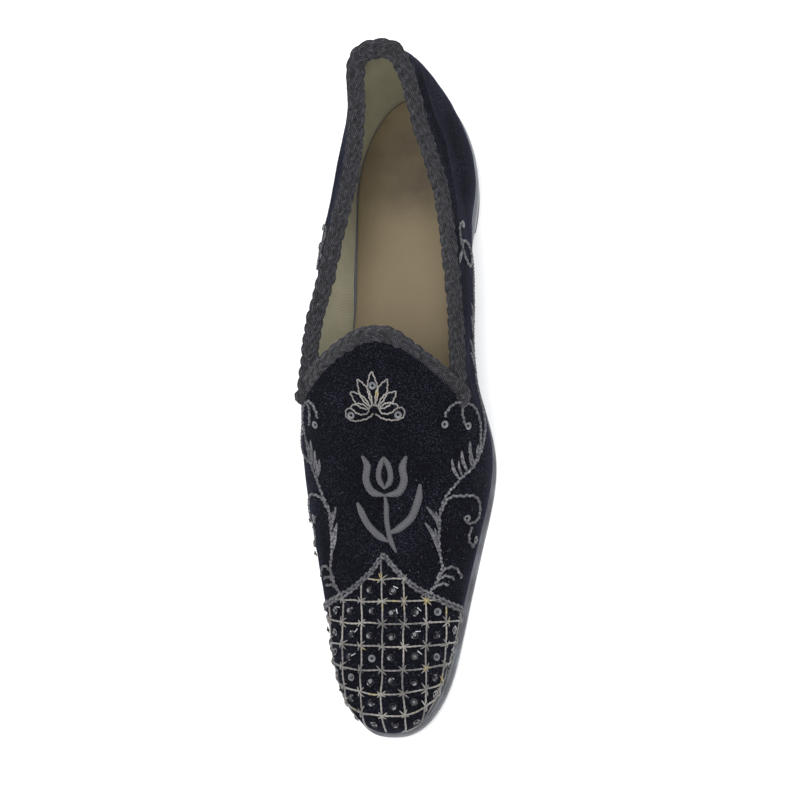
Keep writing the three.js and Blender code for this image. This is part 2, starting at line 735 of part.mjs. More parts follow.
function slipper() {
  const face = upperFace();
  const normals = vertexNormals(face);
  const rim = swingEndsOut(edgeStations(face, face.rim, normals));
  const vampEdge = edgeStations(face, face.tab, normals);
  const raised = [...edgeStations(face, face.rim, normals), ...vampEdge];
  const keepClear = solidOf(upperShell(face, -GAP, UPPER_WALL + GAP, raised));
  const collarBraid = solidOf(braidAlong(rim)).subtract(keepClear);
  const vampBraid = solidOf(braidAlong(vampEdge)).subtract(keepClear).subtract(solidOf(braidAlong(rim, GAP)));
  const liftTop = LIFT_THICKNESS;
  const group = new THREE.Group();
  group.add(
    part("outsole", outsole(), COLOURS.sole),
    part("heel_lift", heelSlab(0, liftTop), COLOURS.lift),
    part("heel_stack", heelSlab(liftTop + GAP, HEEL_HEIGHT - GAP), COLOURS.sole),
    part("insole", insole(), COLOURS.insole),
    part("upper", upperShell(face, 0, UPPER_WALL), COLOURS.velvet),
    part("collar_braid", geometryFrom(collarBraid), COLOURS.braid),
    part("vamp_braid", geometryFrom(vampBraid), COLOURS.braid),
  );
  const box = new THREE.Box3().setFromObject(group);
  const centre = box.getCenter(new THREE.Vector3());
  group.position.set(-centre.x, -centre.y, -box.min.z);
  return group;
}

export default slipper();
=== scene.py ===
import bisect
import math
import random

import bpy
from mathutils import Matrix, Vector, noise
from mathutils.bvhtree import BVHTree


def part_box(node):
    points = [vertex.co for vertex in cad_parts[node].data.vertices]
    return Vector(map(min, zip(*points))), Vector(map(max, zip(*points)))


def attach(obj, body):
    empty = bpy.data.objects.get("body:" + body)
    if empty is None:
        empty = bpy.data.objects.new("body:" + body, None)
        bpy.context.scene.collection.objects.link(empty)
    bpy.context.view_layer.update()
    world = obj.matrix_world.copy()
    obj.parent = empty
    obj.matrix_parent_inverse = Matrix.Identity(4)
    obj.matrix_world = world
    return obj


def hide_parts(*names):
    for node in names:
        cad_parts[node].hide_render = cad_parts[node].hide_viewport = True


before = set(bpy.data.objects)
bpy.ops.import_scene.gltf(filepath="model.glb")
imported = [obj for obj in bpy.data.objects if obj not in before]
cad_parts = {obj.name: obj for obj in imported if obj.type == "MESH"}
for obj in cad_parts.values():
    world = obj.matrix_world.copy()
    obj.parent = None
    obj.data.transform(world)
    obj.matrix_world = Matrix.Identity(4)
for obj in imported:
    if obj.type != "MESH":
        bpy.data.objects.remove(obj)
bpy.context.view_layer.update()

# Studio
# The shoe stands on a pale paper floor under a wide overhead softbox, with two
# weaker ones, at the heel's inner side and the toe's outer side, and white walls
# all round. The camera looks down from over the inner side of the toes.
scene = bpy.context.scene
MM = 0.001
CAMERA_TARGET = Vector((0, -2.25, 20)) * MM
CAMERA_DISTANCE = 1100 * MM
CAMERA_LEAN_INWARD = math.radians(13.5)
CAMERA_LEAN_TO_TOE = math.radians(12.5)
CAMERA_ROLL = math.radians(2.5)
CAMERA_LENS = 113.5
PICTURE_DROP = 8 / 800


def linear(hex_colour):
    """The linear colour of an sRGB hex value."""
    shares = [int(hex_colour[i:i + 2], 16) / 255 for i in (1, 3, 5)]
    return (*[c / 12.92 if c <= 0.04045 else ((c + 0.055) / 1.055) ** 2.4 for c in shares], 1)


# Inputs go by name or number: a colour Mix has its share at 0 and its colours at 6
# and 7, and a MapRange has its old limits at 1 and 2 and its new ones at 3 and 4.
def add_node(tree, kind, inputs=None, **settings):
    """Adds a shader node with its settings, and sets its inputs or links them to a socket or node."""
    node = tree.nodes.new("ShaderNode" + kind)
    for name, value in settings.items():
        setattr(node, name, value)
    for name, value in (inputs or {}).items():
        if isinstance(value, bpy.types.ShaderNode):
            value = value.outputs[0]
        if isinstance(value, bpy.types.NodeSocket):
            tree.links.new(value, node.inputs[name])
        else:
            node.inputs[name].default_value = value
    return node


def new_material(name):
    """An empty node material and its tree."""
    material = bpy.data.materials.new(name)
    material.use_nodes = True
    material.node_tree.nodes.clear()
    return material, material.node_tree


def finish_material(tree, surface):
    """Ends a material with its shader, given the shader's inputs."""
    add_node(tree, "OutputMaterial", {"Surface": add_node(tree, "BsdfPrincipled", surface)})


def add_camera():
    towards = Vector((math.tan(CAMERA_LEAN_INWARD), -math.tan(CAMERA_LEAN_TO_TOE), 1)).normalized()
    right = Vector((0, 1, 0)).cross(towards).normalized()
    up = towards.cross(right)
    turn = Matrix.Rotation(CAMERA_ROLL, 3, towards)
    right, up = turn @ right, turn @ up
    data = bpy.data.cameras.new("camera")
    data.lens = CAMERA_LENS
    data.sensor_width = 36
    data.shift_y = PICTURE_DROP
    data.clip_end = 20
    camera = bpy.data.objects.new("camera", data)
    scene.collection.objects.link(camera)
    place = Matrix((right, up, towards)).transposed().to_4x4()
    place.translation = CAMERA_TARGET + towards * CAMERA_DISTANCE
    camera.matrix_world = place
    scene.camera = camera


def add_softbox(name, place, aim, width, watts):
    data = bpy.data.lights.new(name, "AREA")
    data.shape = "SQUARE"
    data.size = width
    data.energy = watts
    lamp = bpy.data.objects.new(name, data)
    scene.collection.objects.link(lamp)
    direction = Vector(aim) - Vector(place)
    lamp.matrix_world = Matrix.Translation(place) @ direction.to_track_quat("-Z", "Y").to_matrix().to_4x4()


add_camera()
add_softbox("overhead_softbox", (0.1, -0.25, 1.7), (0, 0, 0), 1.5, 34)
add_softbox("heel_softbox", (0.9, 1.1, 0.9), (0, 0.02, 0.03), 0.7, 14)
add_softbox("toe_softbox", (-1.1, -0.7, 0.8), (0, -0.03, 0.03), 0.6, 7)

world = bpy.data.worlds.new("white_walls")
scene.world = world
world.use_nodes = True
world.node_tree.nodes["Background"].inputs["Color"].default_value = linear("#f4f6fa")
world.node_tree.nodes["Background"].inputs["Strength"].default_value = 0.75
scene.view_settings.view_transform = "Standard"

bpy.ops.object.select_all(action="DESELECT")
bpy.ops.mesh.primitive_plane_add(size=7, location=(0, 0, -0.05 * MM))
floor = bpy.context.object
floor.name = "paper_floor"
paper, tree = new_material("matt_white_paper")
finish_material(tree, {
    "Base Color": linear("#f5f5f5"), "Roughness": 0.9, "Specular IOR Level": 0.2})
floor.data.materials.append(paper)

# Outsole
# One cut of firm sole leather under the whole shoe, its edge trimmed, waxed and
# burnished dark grey, and painted paler round the heel as painted light. It is
# cemented to the lasted upper. Below, the flesh side is dyed and lightly scuffed by walking.
EDGE_CREASE = 0.82
ROUNDING_LEVELS = 2
WELD_GAP = 0.02 * MM
RIM_RING = 0.8 * MM
CAP_CORNERS = 8
SOLE_EDGE_WAX = "#2f3136"
SOLE_EDGE_RUBBED = "#5d6066"
# The heel's paler edge colour is painted light, not wear.
SOLE_EDGE_HEEL_LIT = "#676b71"
SOLE_FACE_DYE = "#24242a"
SOLE_SCUFF = "#5f5a55"


def new_piece(name, mesh):
    """Puts a mesh in the scene as a new object, alone selected and active."""
    bpy.ops.object.select_all(action="DESELECT")
    piece = bpy.data.objects.new(name, mesh)
    scene.collection.objects.link(piece)
    piece.select_set(True)
    bpy.context.view_layer.objects.active = piece
    return piece


def apply_modifier(piece, kind, **settings):
    modifier = piece.modifiers.new(kind.lower(), kind)
    for name, value in settings.items():
        setattr(modifier, name, value)
    bpy.ops.object.modifier_apply(modifier=modifier.name)


def welded_copy(node_name, piece_name):
    """A copy of a CAD node as one welded mesh of quads."""
    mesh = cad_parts[node_name].data.copy()
    mesh.materials.clear()
    piece = new_piece(piece_name, mesh)
    bpy.ops.mesh.customdata_custom_splitnormals_clear()
    bpy.ops.object.mode_set(mode="EDIT")
    bpy.ops.mesh.select_all(action="SELECT")
    bpy.ops.mesh.remove_doubles(threshold=WELD_GAP)
    bpy.ops.mesh.tris_convert_to_quads(face_threshold=math.radians(25), shape_threshold=math.radians(60))
    bpy.ops.mesh.select_all(action="DESELECT")
    bpy.ops.object.mode_set(mode="OBJECT")
    return piece


def join_flat_faces(piece):
    """Joins a piece's level faces and rings them, so that no fan of triangles dents its rim."""
    bpy.ops.object.mode_set(mode="EDIT")
    bpy.ops.mesh.select_mode(type="FACE")
    bpy.ops.mesh.select_all(action="SELECT")
    bpy.ops.mesh.dissolve_limited(angle_limit=math.radians(0.5))
    bpy.ops.mesh.select_all(action="DESELECT")
    bpy.ops.object.mode_set(mode="OBJECT")
    for polygon in piece.data.polygons:
        polygon.select = len(polygon.vertices) > CAP_CORNERS
    bpy.ops.object.mode_set(mode="EDIT")
    bpy.ops.mesh.inset(thickness=RIM_RING)
    bpy.ops.mesh.select_all(action="DESELECT")
    bpy.ops.object.mode_set(mode="OBJECT")


def round_out(piece, sharp_degrees, crease):
    """Subdivides a piece smoothly, holding the edges that are sharper than an angle."""
    bpy.ops.object.mode_set(mode="EDIT")
    bpy.ops.mesh.select_mode(type="EDGE")
    bpy.ops.mesh.select_all(action="DESELECT")
    bpy.ops.mesh.edges_select_sharp(sharpness=math.radians(sharp_degrees))
    bpy.ops.transform.edge_crease(value=crease)
    bpy.ops.mesh.select_all(action="DESELECT")
    bpy.ops.object.mode_set(mode="OBJECT")
    apply_modifier(piece, "SUBSURF", levels=ROUNDING_LEVELS, render_levels=ROUNDING_LEVELS)
    bpy.ops.object.shade_smooth_by_angle(angle=math.radians(50))


outsole = welded_copy("outsole", "leather_outsole")
round_out(outsole, 32, EDGE_CREASE)

# Waxed, burnished sole leather: a soft gloss on the edge, scuffs 18 mm wide below,
# and pores 0.7 mm apart, coarser than real ones so that they show.
burnished, tree = new_material("burnished_sole_leather")
place = add_node(tree, "TexCoord").outputs["Object"]
facing = add_node(tree, "NewGeometry").outputs["Normal"]
level = add_node(tree, "SeparateXYZ", {0: facing}).outputs["Z"]
underside = add_node(tree, "MapRange", {"Value": level, 1: -0.75, 2: -0.9, 3: 0, 4: 1})
scuffs = add_node(tree, "TexNoise", {"Vector": place, "Scale": 55, "Detail": 7, "Roughness": 0.62})
scuffed = add_node(tree, "MapRange", {"Value": scuffs, 1: 0.5, 2: 0.8, 3: 0, 4: 0.45})
below = add_node(tree, "Mix", {0: scuffed, 6: linear(SOLE_FACE_DYE), 7: linear(SOLE_SCUFF)}, data_type="RGBA")
rub = add_node(tree, "TexNoise", {"Vector": place, "Scale": 90, "Detail": 3})
rubbed = add_node(tree, "MapRange", {"Value": rub, 1: 0.4, 2: 0.68, 3: 0.1, 4: 0.85})
dark_edge = add_node(tree, "Mix", {
    0: rubbed, 6: linear(SOLE_EDGE_WAX), 7: linear(SOLE_EDGE_RUBBED)}, data_type="RGBA")
heel_lit_edge = add_node(tree, "Mix", {
    0: rubbed, 6: linear(SOLE_EDGE_RUBBED), 7: linear(SOLE_EDGE_HEEL_LIT)}, data_type="RGBA")
along = add_node(tree, "SeparateXYZ", {0: place}).outputs["Y"]
# Painted light: the edge is painted paler towards the heel, by its place along the shoe.
heel_painted_light = add_node(tree, "MapRange", {"Value": along, 1: 0.0, 2: 0.08, 3: 0, 4: 0.8})
edge = add_node(tree, "Mix", {
    0: heel_painted_light, 6: dark_edge.outputs[2], 7: heel_lit_edge.outputs[2]}, data_type="RGBA")
dye = add_node(tree, "Mix", {0: underside, 6: edge.outputs[2], 7: below.outputs[2]}, data_type="RGBA")
grain = add_node(tree, "TexVoronoi", {"Vector": place, "Scale": 1400})
pores = add_node(tree, "Bump", {"Height": grain, "Strength": 0.25, "Distance": 0.0002})
gloss = add_node(tree, "MapRange", {"Value": scuffs, 1: 0.35, 2: 0.7, 3: 0.32, 4: 0.62})
finish_material(tree, {
    "Base Color": dye.outputs[2], "Roughness": gloss, "Normal": pores,
    "Coat Weight": 0.25, "Coat Roughness": 0.3})
outsole.data.materials.append(burnished)
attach(outsole, "root")
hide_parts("outsole")

# Heel
# Two lifts of sole leather, glued and nailed under the heel seat, trimmed
# together and waxed like the sole's edge, with a hollowed breast in front. A
# thin black wearing lift closes them below, worn matt where it meets the floor.
LIFT_LAYER_HEIGHT = 3.1 * MM
LAYER_JOINT = "#17171b"
WEAR_LIFT_BLACK = "#151517"
WEAR_LIFT_SCUFF = "#3d3b3a"

heel_stack = welded_copy("heel_stack", "stacked_leather_heel")
join_flat_faces(heel_stack)
round_out(heel_stack, 32, EDGE_CREASE)

# The same waxed leather, cut across: layers 3.1 mm high with dark joints, and
# fibres streaked along each layer.
stacked, tree = new_material("stacked_waxed_leather")
place = add_node(tree, "TexCoord").outputs["Object"]
height = add_node(tree, "SeparateXYZ", {0: place}).outputs["Z"]
layer = add_node(tree, "Math", {0: height, 1: LIFT_LAYER_HEIGHT / 2}, operation="PINGPONG")
joint = add_node(tree, "MapRange", {"Value": layer, 1: 0, 2: 0.0004, 3: 1, 4: 0})
fibre = add_node(tree, "Mapping", {"Vector": place, "Scale": (120, 120, 1500)})
streak = add_node(tree, "TexNoise", {"Vector": fibre, "Scale": 1, "Detail": 4})
waxed = add_node(tree, "Mix", {
    0: streak, 6: linear(SOLE_EDGE_WAX), 7: linear(SOLE_EDGE_RUBBED)}, data_type="RGBA")
jointed = add_node(tree, "Mix", {0: joint, 6: waxed.outputs[2], 7: linear(LAYER_JOINT)}, data_type="RGBA")
relief = add_node(tree, "Math", {0: streak, 1: joint}, operation="SUBTRACT")
bumps = add_node(tree, "Bump", {"Height": relief, "Strength": 0.5, "Distance": 0.0002})
finish_material(tree, {
    "Base Color": jointed.outputs[2], "Roughness": 0.42, "Normal": bumps,
    "Coat Weight": 0.25, "Coat Roughness": 0.3})
heel_stack.data.materials.append(stacked)
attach(heel_stack, "root")
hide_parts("heel_stack")

heel_lift = welded_copy("heel_lift", "black_heel_lift")
join_flat_faces(heel_lift)
round_out(heel_lift, 32, EDGE_CREASE)

# Black-dyed lift leather, worn matt, with paler scuffs about 6 mm wide.
worn, tree = new_material("worn_black_lift_leather")
place = add_node(tree, "TexCoord").outputs["Object"]
wear = add_node(tree, "TexNoise", {"Vector": place, "Scale": 160, "Detail": 6})
worn_share = add_node(tree, "MapRange", {"Value": wear, 1: 0.48, 2: 0.76, 3: 0, 4: 0.45})
worn_dye = add_node(tree, "Mix", {
    0: worn_share, 6: linear(WEAR_LIFT_BLACK), 7: linear(WEAR_LIFT_SCUFF)}, data_type="RGBA")
scratches = add_node(tree, "Bump", {"Height": wear, "Strength": 0.3, "Distance": 0.0002})
finish_material(tree, {
    "Base Color": worn_dye.outputs[2], "Roughness": 0.6, "Normal": scratches})
heel_lift.data.materials.append(worn)
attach(heel_lift, "root")
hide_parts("heel_lift")

# Insole
# A full sock of thin natural sheepskin glued over the insole board, its edge
# lying against the lining. It is soft and matt, with fine wrinkled grain, and
# darkened where the heel and the ball of the foot press on it.
SOCK_TAN = "#75684f"
SOCK_WORN = "#463c2d"
# Where the heel and the ball of the foot press: place and reach, in metres.
SOCK_PRESSED = (((0.002, 0.105, 0.012), 0.032), ((0.003, -0.045, 0.01), 0.045))

insole = welded_copy("insole", "sheepskin_sock")
round_out(insole, 40, 0.55)

# Vegetable-tanned sheepskin: matt, darker where the foot presses, with fine
# wrinkles and a grain of cells 1.4 mm wide, as coarse as it needs to show.
sheepskin, tree = new_material("natural_sheepskin")
place = add_node(tree, "TexCoord").outputs["Object"]
press = None
for centre, reach in SOCK_PRESSED:
    away = add_node(tree, "VectorMath", {0: place, 1: centre}, operation="DISTANCE")
    mark = add_node(tree, "MapRange", {
        "Value": away.outputs["Value"], 1: reach, 2: reach * 0.3, 3: 0.12, 4: 1},
        interpolation_type="SMOOTHSTEP")
    press = mark if press is None else add_node(tree, "Math", {0: press, 1: mark}, operation="MAXIMUM")
mottle = add_node(tree, "TexNoise", {"Vector": place, "Scale": 70, "Detail": 5})
mottled = add_node(tree, "MapRange", {"Value": mottle, 1: 0.28, 2: 0.7, 3: 0.5, 4: 1})
soil = add_node(tree, "Math", {0: press, 1: mottled}, operation="MULTIPLY")
sock_colour = add_node(tree, "Mix", {0: soil, 6: linear(SOCK_TAN), 7: linear(SOCK_WORN)}, data_type="RGBA")
grain = add_node(tree, "TexVoronoi", {"Vector": place, "Scale": 700}, feature="DISTANCE_TO_EDGE")
crease = add_node(tree, "TexNoise", {"Vector": place, "Scale": 120, "Detail": 5, "Roughness": 0.65})
leather = add_node(tree, "Math", {0: crease, 1: 2.5, 2: grain}, operation="MULTIPLY_ADD")
wrinkle = add_node(tree, "Bump", {"Height": leather, "Strength": 0.6, "Distance": 0.0003})
finish_material(tree, {
    "Base Color": sock_colour.outputs[2], "Roughness": 0.72, "Normal": wrinkle})
insole.data.materials.append(sheepskin)
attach(insole, "root")
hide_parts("insole")

# Velvet upper
# Black silk velvet, backed with buckram, cut as a vamp and quarters, seamed at
# the back of the heel and lasted wet over the toes. It keeps soft folds: a long
# one under the inner collar, and shallow ones where the foot bends.
HEEL_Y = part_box("outsole")[1][1] / MM
RAY_REACH = 200
AXIS_HEIGHT = 10
FAN_RAYS = 150
FAN_SWEEP = math.radians(104)
FAN_SPACING = 1.0
FAN_GAP = 3.5
VELVET_BLACK = "#030307"
# The nap patches' colour is a painted sheen.
VELVET_NAP_SHEEN = "#353846"
VELVET_BLOOM = "#202b57"
LINT_GREY = "#7b7b80"
# Folds: (girth from the centre line, distance from the heel) of each end, in mm,
# then how high the ridge is (a trough is negative) and how wide, in mm.
VAMP_FOLDS = (
    ((-27, 166), (-8, 171), 0.5, 5),
    ((-24, 173), (-4, 178), -0.5, 5),
    ((34, 200), (37, 218), 0.5, 2.5),
    ((40, 178), (43, 200), 0.45, 3),
    ((6, 186), (22, 190), 0.35, 6),
    ((-34, 196), (-33, 214), 0.45, 3),
    ((22, 168), (38, 164), -0.45, 4),
)
# Folds of the quarters: side, then (distance, height) of each end, ridge and width in mm.
QUARTER_FOLDS = (
    (1, (10, 63), (40, 51.5), 1.0, 2.2),
    (1, (34, 52.5), (92, 51), 0.9, 2.2),
    (1, (38, 52.5), (72, 49.5), 0.6, 1.3),
    (1, (20, 46), (74, 40), -0.7, 4),
    (1, (16, 27), (62, 27), 1.6, 15),
    (-1, (30, 50), (84, 44), 0.7, 3.4),
    (-1, (84, 40), (128, 44), -0.5, 4),
    (1, (112, 34), (140, 40), -0.5, 4),
)
FOLD_FADE = 2.6
BACK_SEAM_FROM = 120
BACK_SEAM_DEPTH = 0.45
BACK_SEAM_WIDTH = 0.7
# The velvet lies unevenly: the height of each unevenness and its spacing, in mm.
UNEVEN_BROAD, UNEVEN_FINE = (0.28, 17), (0.12, 6)
FEATHER_HEIGHT = 6
# The heel's top edge is trodden out: how far outward and back, in mm, and where that
# starts and how soon it is whole, from the heel's back, from the sole and across.
TRODDEN_OUT = 3.7
TRODDEN_BACK = 1.2
TRODDEN_REACH, TRODDEN_REACH_FADE = 28, 22
TRODDEN_HEIGHT, TRODDEN_HEIGHT_FADE = 38, 30
TRODDEN_SIDE, TRODDEN_SIDE_FADE = 8, 14
FIRST_FAN, LAST_FAN = 130, 288


def velvet_tree(piece):
    """The piece's surface in mm, ready for rays."""
    mesh = piece.data
    return BVHTree.FromPolygons([v.co / MM for v in mesh.vertices], [list(p.vertices) for p in mesh.polygons])


def velvet_fan(surface, y, side):
    """Girths from the centre line down one side to the sole, and the velvet's points there."""
    axis = Vector((0, y, AXIS_HEIGHT))
    girths, points = [], []
    for step in range(FAN_RAYS + 1):
        angle = side * step * FAN_SWEEP / FAN_RAYS
        out = Vector((math.sin(angle), 0, math.cos(angle)))
        hit = surface.ray_cast(axis + out * RAY_REACH, -out)[0]
        if hit is None or (points and (hit - points[-1]).length > FAN_GAP):
            break
        girths.append(girths[-1] + (hit - points[-1]).length if points else 0.0)
        points.append(hit)
    return girths, points


def velvet_fans(surface):
    fans = {}
    for side in (-1, 1):
        for index in range(FIRST_FAN, LAST_FAN + 1):
            fans[side, index] = velvet_fan(surface, HEEL_Y - index * FAN_SPACING, side)
    return fans


def fan_point(fan, girth):
    girths, points = fan
    at = min(max(bisect.bisect_right(girths, girth), 1), len(girths) - 1)
    share = min((girth - girths[at - 1]) / max(girths[at] - girths[at - 1], 1e-6), 1)
    return points[at - 1].lerp(points[at], share)


def on_vamp(girth, distance):
    """The velvet's point (mm) at a girth from the centre line and a distance from the heel."""
    side = 1 if girth >= 0 else -1
    index = min(max(int(distance), FIRST_FAN), LAST_FAN - 1)
    near, far = fan_point(fans[side, index], abs(girth)), fan_point(fans[side, index + 1], abs(girth))
    return near.lerp(far, min(distance - index, 1))


def on_quarter(side, distance, height):
    """The velvet's point (mm) on a quarter's outside at a distance from the heel and a height."""
    start = Vector((side * RAY_REACH, HEEL_Y - distance, height))
    return surface.ray_cast(start, Vector((-side, 0, 0)))[0]


def distance_to_line(point, start, end):
    """How far a point is from a line, and the share of the line that it is beside."""
    run = end - start
    share = min(max((point - start).dot(run) / run.length_squared, 0), 1)
    return (point - start - run * share).length, share


def eased(share):
    share = min(max(share, 0), 1)
    return share * share * (3 - 2 * share)


def trodden(point):
    """Where a point (mm) near the top of the heel goes once the outer side is trodden out."""
    near = eased((TRODDEN_REACH - (HEEL_Y - point.y)) / TRODDEN_REACH_FADE)
    near *= eased((point.z - TRODDEN_HEIGHT) / TRODDEN_HEIGHT_FADE)
    outer = eased((TRODDEN_SIDE - point.x) / TRODDEN_SIDE_FADE)
    return point + Vector((-TRODDEN_OUT * outer, TRODDEN_BACK, 0)) * near


velvet = welded_copy("upper", "velvet_upper")
round_out(velvet, 55, 0.5)
surface = velvet_tree(velvet)
fans = velvet_fans(surface)
folds = [(on_vamp(*start), on_vamp(*end), ridge, width) for start, end, ridge, width in VAMP_FOLDS]
folds += [(on_quarter(side, *start), on_quarter(side, *end), ridge, width)
          for side, start, end, ridge, width in QUARTER_FOLDS]
normals = [v.normal.copy() for v in velvet.data.vertices]
for vertex, normal in zip(velvet.data.vertices, normals):
    point = vertex.co / MM
    middle = Vector((0, point.y, AXIS_HEIGHT))
    away = (point - middle).normalized()
    push = 0.0
    for start, end, ridge, width in folds:
        gap, share = distance_to_line(point, start, end)
        if gap < width * FOLD_FADE:
            push += ridge * math.exp(-(gap / width) ** 2) * math.sin(math.pi * (0.08 + 0.84 * share))
    if point.y > BACK_SEAM_FROM:
        push -= BACK_SEAM_DEPTH * math.exp(-(point.x / BACK_SEAM_WIDTH) ** 2)
    for height, spacing in (UNEVEN_BROAD, UNEVEN_FINE):
        push += height * noise.noise(point / spacing)
    above_sole = min(max((point.z - FEATHER_HEIGHT) / FEATHER_HEIGHT, 0), 1)
    outward_side = 1 if normal.dot(away) > 0 else -1
    vertex.co = trodden(point + normal * outward_side * push * above_sole) * MM
surface = velvet_tree(velvet)
fans = velvet_fans(surface)

# Cut-pile silk velvet: nearly black face-on, with a blue-grey bloom where the
# pile is seen from the side, patches of crushed nap 20 mm wide painted lighter
# and bluer as a painted sheen, and specks of lint. Its tufts are 0.6 mm apart,
# coarser than real ones so that they show.
silk_velvet, tree = new_material("black_silk_velvet")
place = add_node(tree, "TexCoord").outputs["Object"]
nap = add_node(tree, "TexNoise", {"Vector": place, "Scale": 48, "Detail": 6, "Roughness": 0.62})
pile = add_node(tree, "TexNoise", {"Vector": place, "Scale": 1700, "Detail": 3, "Roughness": 0.6})
# Painted sheen: where nap and tufts both run high, the base colour is lifted to blue-grey for the light that
# crushed pile catches.
nap_share = add_node(tree, "MapRange", {"Value": nap, 1: 0.4, 2: 0.72, 3: 0.3, 4: 0.85})
pile_share = add_node(tree, "MapRange", {"Value": pile, 1: 0.5, 2: 0.7, 3: 0, 4: 0.95})
nap_sheen_patches = add_node(tree, "Math", {0: nap_share, 1: pile_share}, operation="MULTIPLY")
face = add_node(tree, "Mix", {
    0: nap_sheen_patches, 6: linear(VELVET_BLACK), 7: linear(VELVET_NAP_SHEEN)}, data_type="RGBA")
specks = add_node(tree, "TexVoronoi", {"Vector": place, "Scale": 420, "Randomness": 1})
lint = add_node(tree, "MapRange", {"Value": specks, 1: 0.11, 2: 0.06, 3: 0, 4: 0.4})
dusty = add_node(tree, "TexNoise", {"Vector": place, "Scale": 30, "Detail": 2})
dust_share = add_node(tree, "MapRange", {"Value": dusty, 1: 0.42, 2: 0.62, 3: 0, 4: 1})
dust = add_node(tree, "Math", {0: lint, 1: dust_share}, operation="MULTIPLY")
velvet_face = add_node(tree, "Mix", {0: dust, 6: face.outputs[2], 7: linear(LINT_GREY)}, data_type="RGBA")
tufts = add_node(tree, "Bump", {"Height": pile, "Strength": 0.6, "Distance": 0.0004})
finish_material(tree, {
    "Base Color": velvet_face.outputs[2], "Roughness": 0.95, "Specular IOR Level": 0.08,
    "Sheen Weight": 0.36, "Sheen Roughness": 0.3, "Sheen Tint": linear(VELVET_BLOOM),
    "Normal": tufts})
velvet.data.materials.append(silk_velvet)
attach(velvet, "root")
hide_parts("upper")

# Lining
# A sateen cotton lining, cream, pasted to the buckram all over the inside
# and turned in at the collar under the braid. It is thin and close, so it has
# the wall's own shape, and it is darker towards the sole, in patches.
LINING_THICKNESS = 0.45
LINING_CREAM = "#a8a48c"
LINING_LOW_BROWN = "#5d5341"
LINING_FOOT = 7
UNDER_QUARTER_FROM = 24

lining = new_piece("cotton_lining", velvet.data.copy())
lining.data.materials.clear()
bpy.ops.object.mode_set(mode="EDIT")
bpy.ops.mesh.select_mode(type="FACE")
bpy.ops.mesh.select_all(action="DESELECT")
bpy.ops.object.mode_set(mode="OBJECT")
for polygon in lining.data.polygons:
    centre = polygon.center / MM
    middle = Vector((0, min(max(centre.y, -118), 112), AXIS_HEIGHT + 4))
    outside = polygon.normal.dot(centre - middle) >= 0
    at_edge = centre.z < LINING_FOOT or polygon.normal.z > 0.75
    under_quarter = polygon.normal.z < -0.5 and centre.y > UNDER_QUARTER_FROM
    polygon.select = outside or at_edge or under_quarter
bpy.ops.object.mode_set(mode="EDIT")
bpy.ops.mesh.delete(type="FACE")
bpy.ops.object.mode_set(mode="OBJECT")
apply_modifier(lining, "SOLIDIFY", thickness=LINING_THICKNESS * MM, offset=1)
bpy.ops.object.shade_smooth_by_angle(angle=math.radians(60))

# Cotton sateen: matt, darker and browner in patches low down, and slanted ribs 0.9 mm apart,
# drawn coarser than the real ones so that they show.
sateen, tree = new_material("cream_cotton_sateen")
place = add_node(tree, "TexCoord").outputs["Object"]
height = add_node(tree, "SeparateXYZ", {0: place}).outputs["Z"]
# Darker towards the sole: the cream is mixed towards brown low down, in noise patches.
low = add_node(tree, "MapRange", {"Value": height, 1: 0.05, 2: 0.015, 3: 0.1, 4: 0.75})
stains = add_node(tree, "TexNoise", {"Vector": place, "Scale": 60, "Detail": 4})
darker_low_patches = add_node(tree, "Math", {0: low, 1: stains}, operation="MULTIPLY")
cotton = add_node(tree, "Mix", {
    0: darker_low_patches, 6: linear(LINING_CREAM), 7: linear(LINING_LOW_BROWN)}, data_type="RGBA")
ribs = add_node(tree, "TexWave", {
    "Vector": place, "Scale": 420, "Distortion": 1.5, "Detail": 2}, bands_direction="DIAGONAL")
weave = add_node(tree, "Bump", {"Height": ribs.outputs[1], "Strength": 0.4, "Distance": 0.0002})
finish_material(tree, {
    "Base Color": cotton.outputs[2], "Roughness": 0.85, "Normal": weave})
lining.data.materials.append(sateen)
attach(lining, "root")

# Border and lattice
# Silvered cotton cord couched on the toe: a pointed border of two thick cords
# side by side, and inside it a net of single cords laid out from the centre
# line, the ones across over the ones along, ending in a cord at the sole.
THREAD_SILVER = "#827e79"
THREAD_TARNISHED = "#4f4d4c"
THREAD_YELLOWED = "#8a7c48"
CORD_BLACKENED = "#2c2c30"
CORD_GREY = "#6e6e71"
LATTICE_MIDDLE = -1
LATTICE_SPACING = 9.4
LATTICE_COLUMNS = [LATTICE_MIDDLE + LATTICE_SPACING * k for k in range(-4, 5)]
# Rows: distance from the heel on the centre line, and how far each bends back at a girth.
LATTICE_ROWS = ((225.1, 1.8), (234.4, 2.1), (243.8, 2.2), (253.4, 2.6), (263.3, 3.8),
                (273.2, 6.2), (281.8, 10))
ROW_BEND_GIRTH = 26
# The border's line on each side, as (girth, distance).
BORDER = ((0, 215.2), (5, 221.2), (9.7, 225.6), (14, 228.6), (19, 230.9), (27, 233.6),
          (33, 234.6), (39, 234.9))
LATTICE_CORD_RADIUS = 0.37
# Every cord: the sides of its section and how much its tips narrow. A twisted one: its
# plies, their depth and how high its middle lies. A knotted one: how far its knots
# stand to each side, how thick it is between and at them, and how high it lies.
CORD_SIDES = 8
CORD_TIP = 0.5
CORD_PLIES = 2
PLY_DEPTH = 0.2
TWISTED_SUNK = 0.6
KNOT_STAGGER = 0.28
KNOT_NECK = 0.62
KNOT_SWELL = 0.55
KNOTTED_SUNK = 0.5
BORDER_CORD_RADIUS = 0.68
# The border's two cords: how far each lies from its line, and the length of its loops.
BORDER_CORDS = ((-0.8, 1.4), (0.75, 1.6))
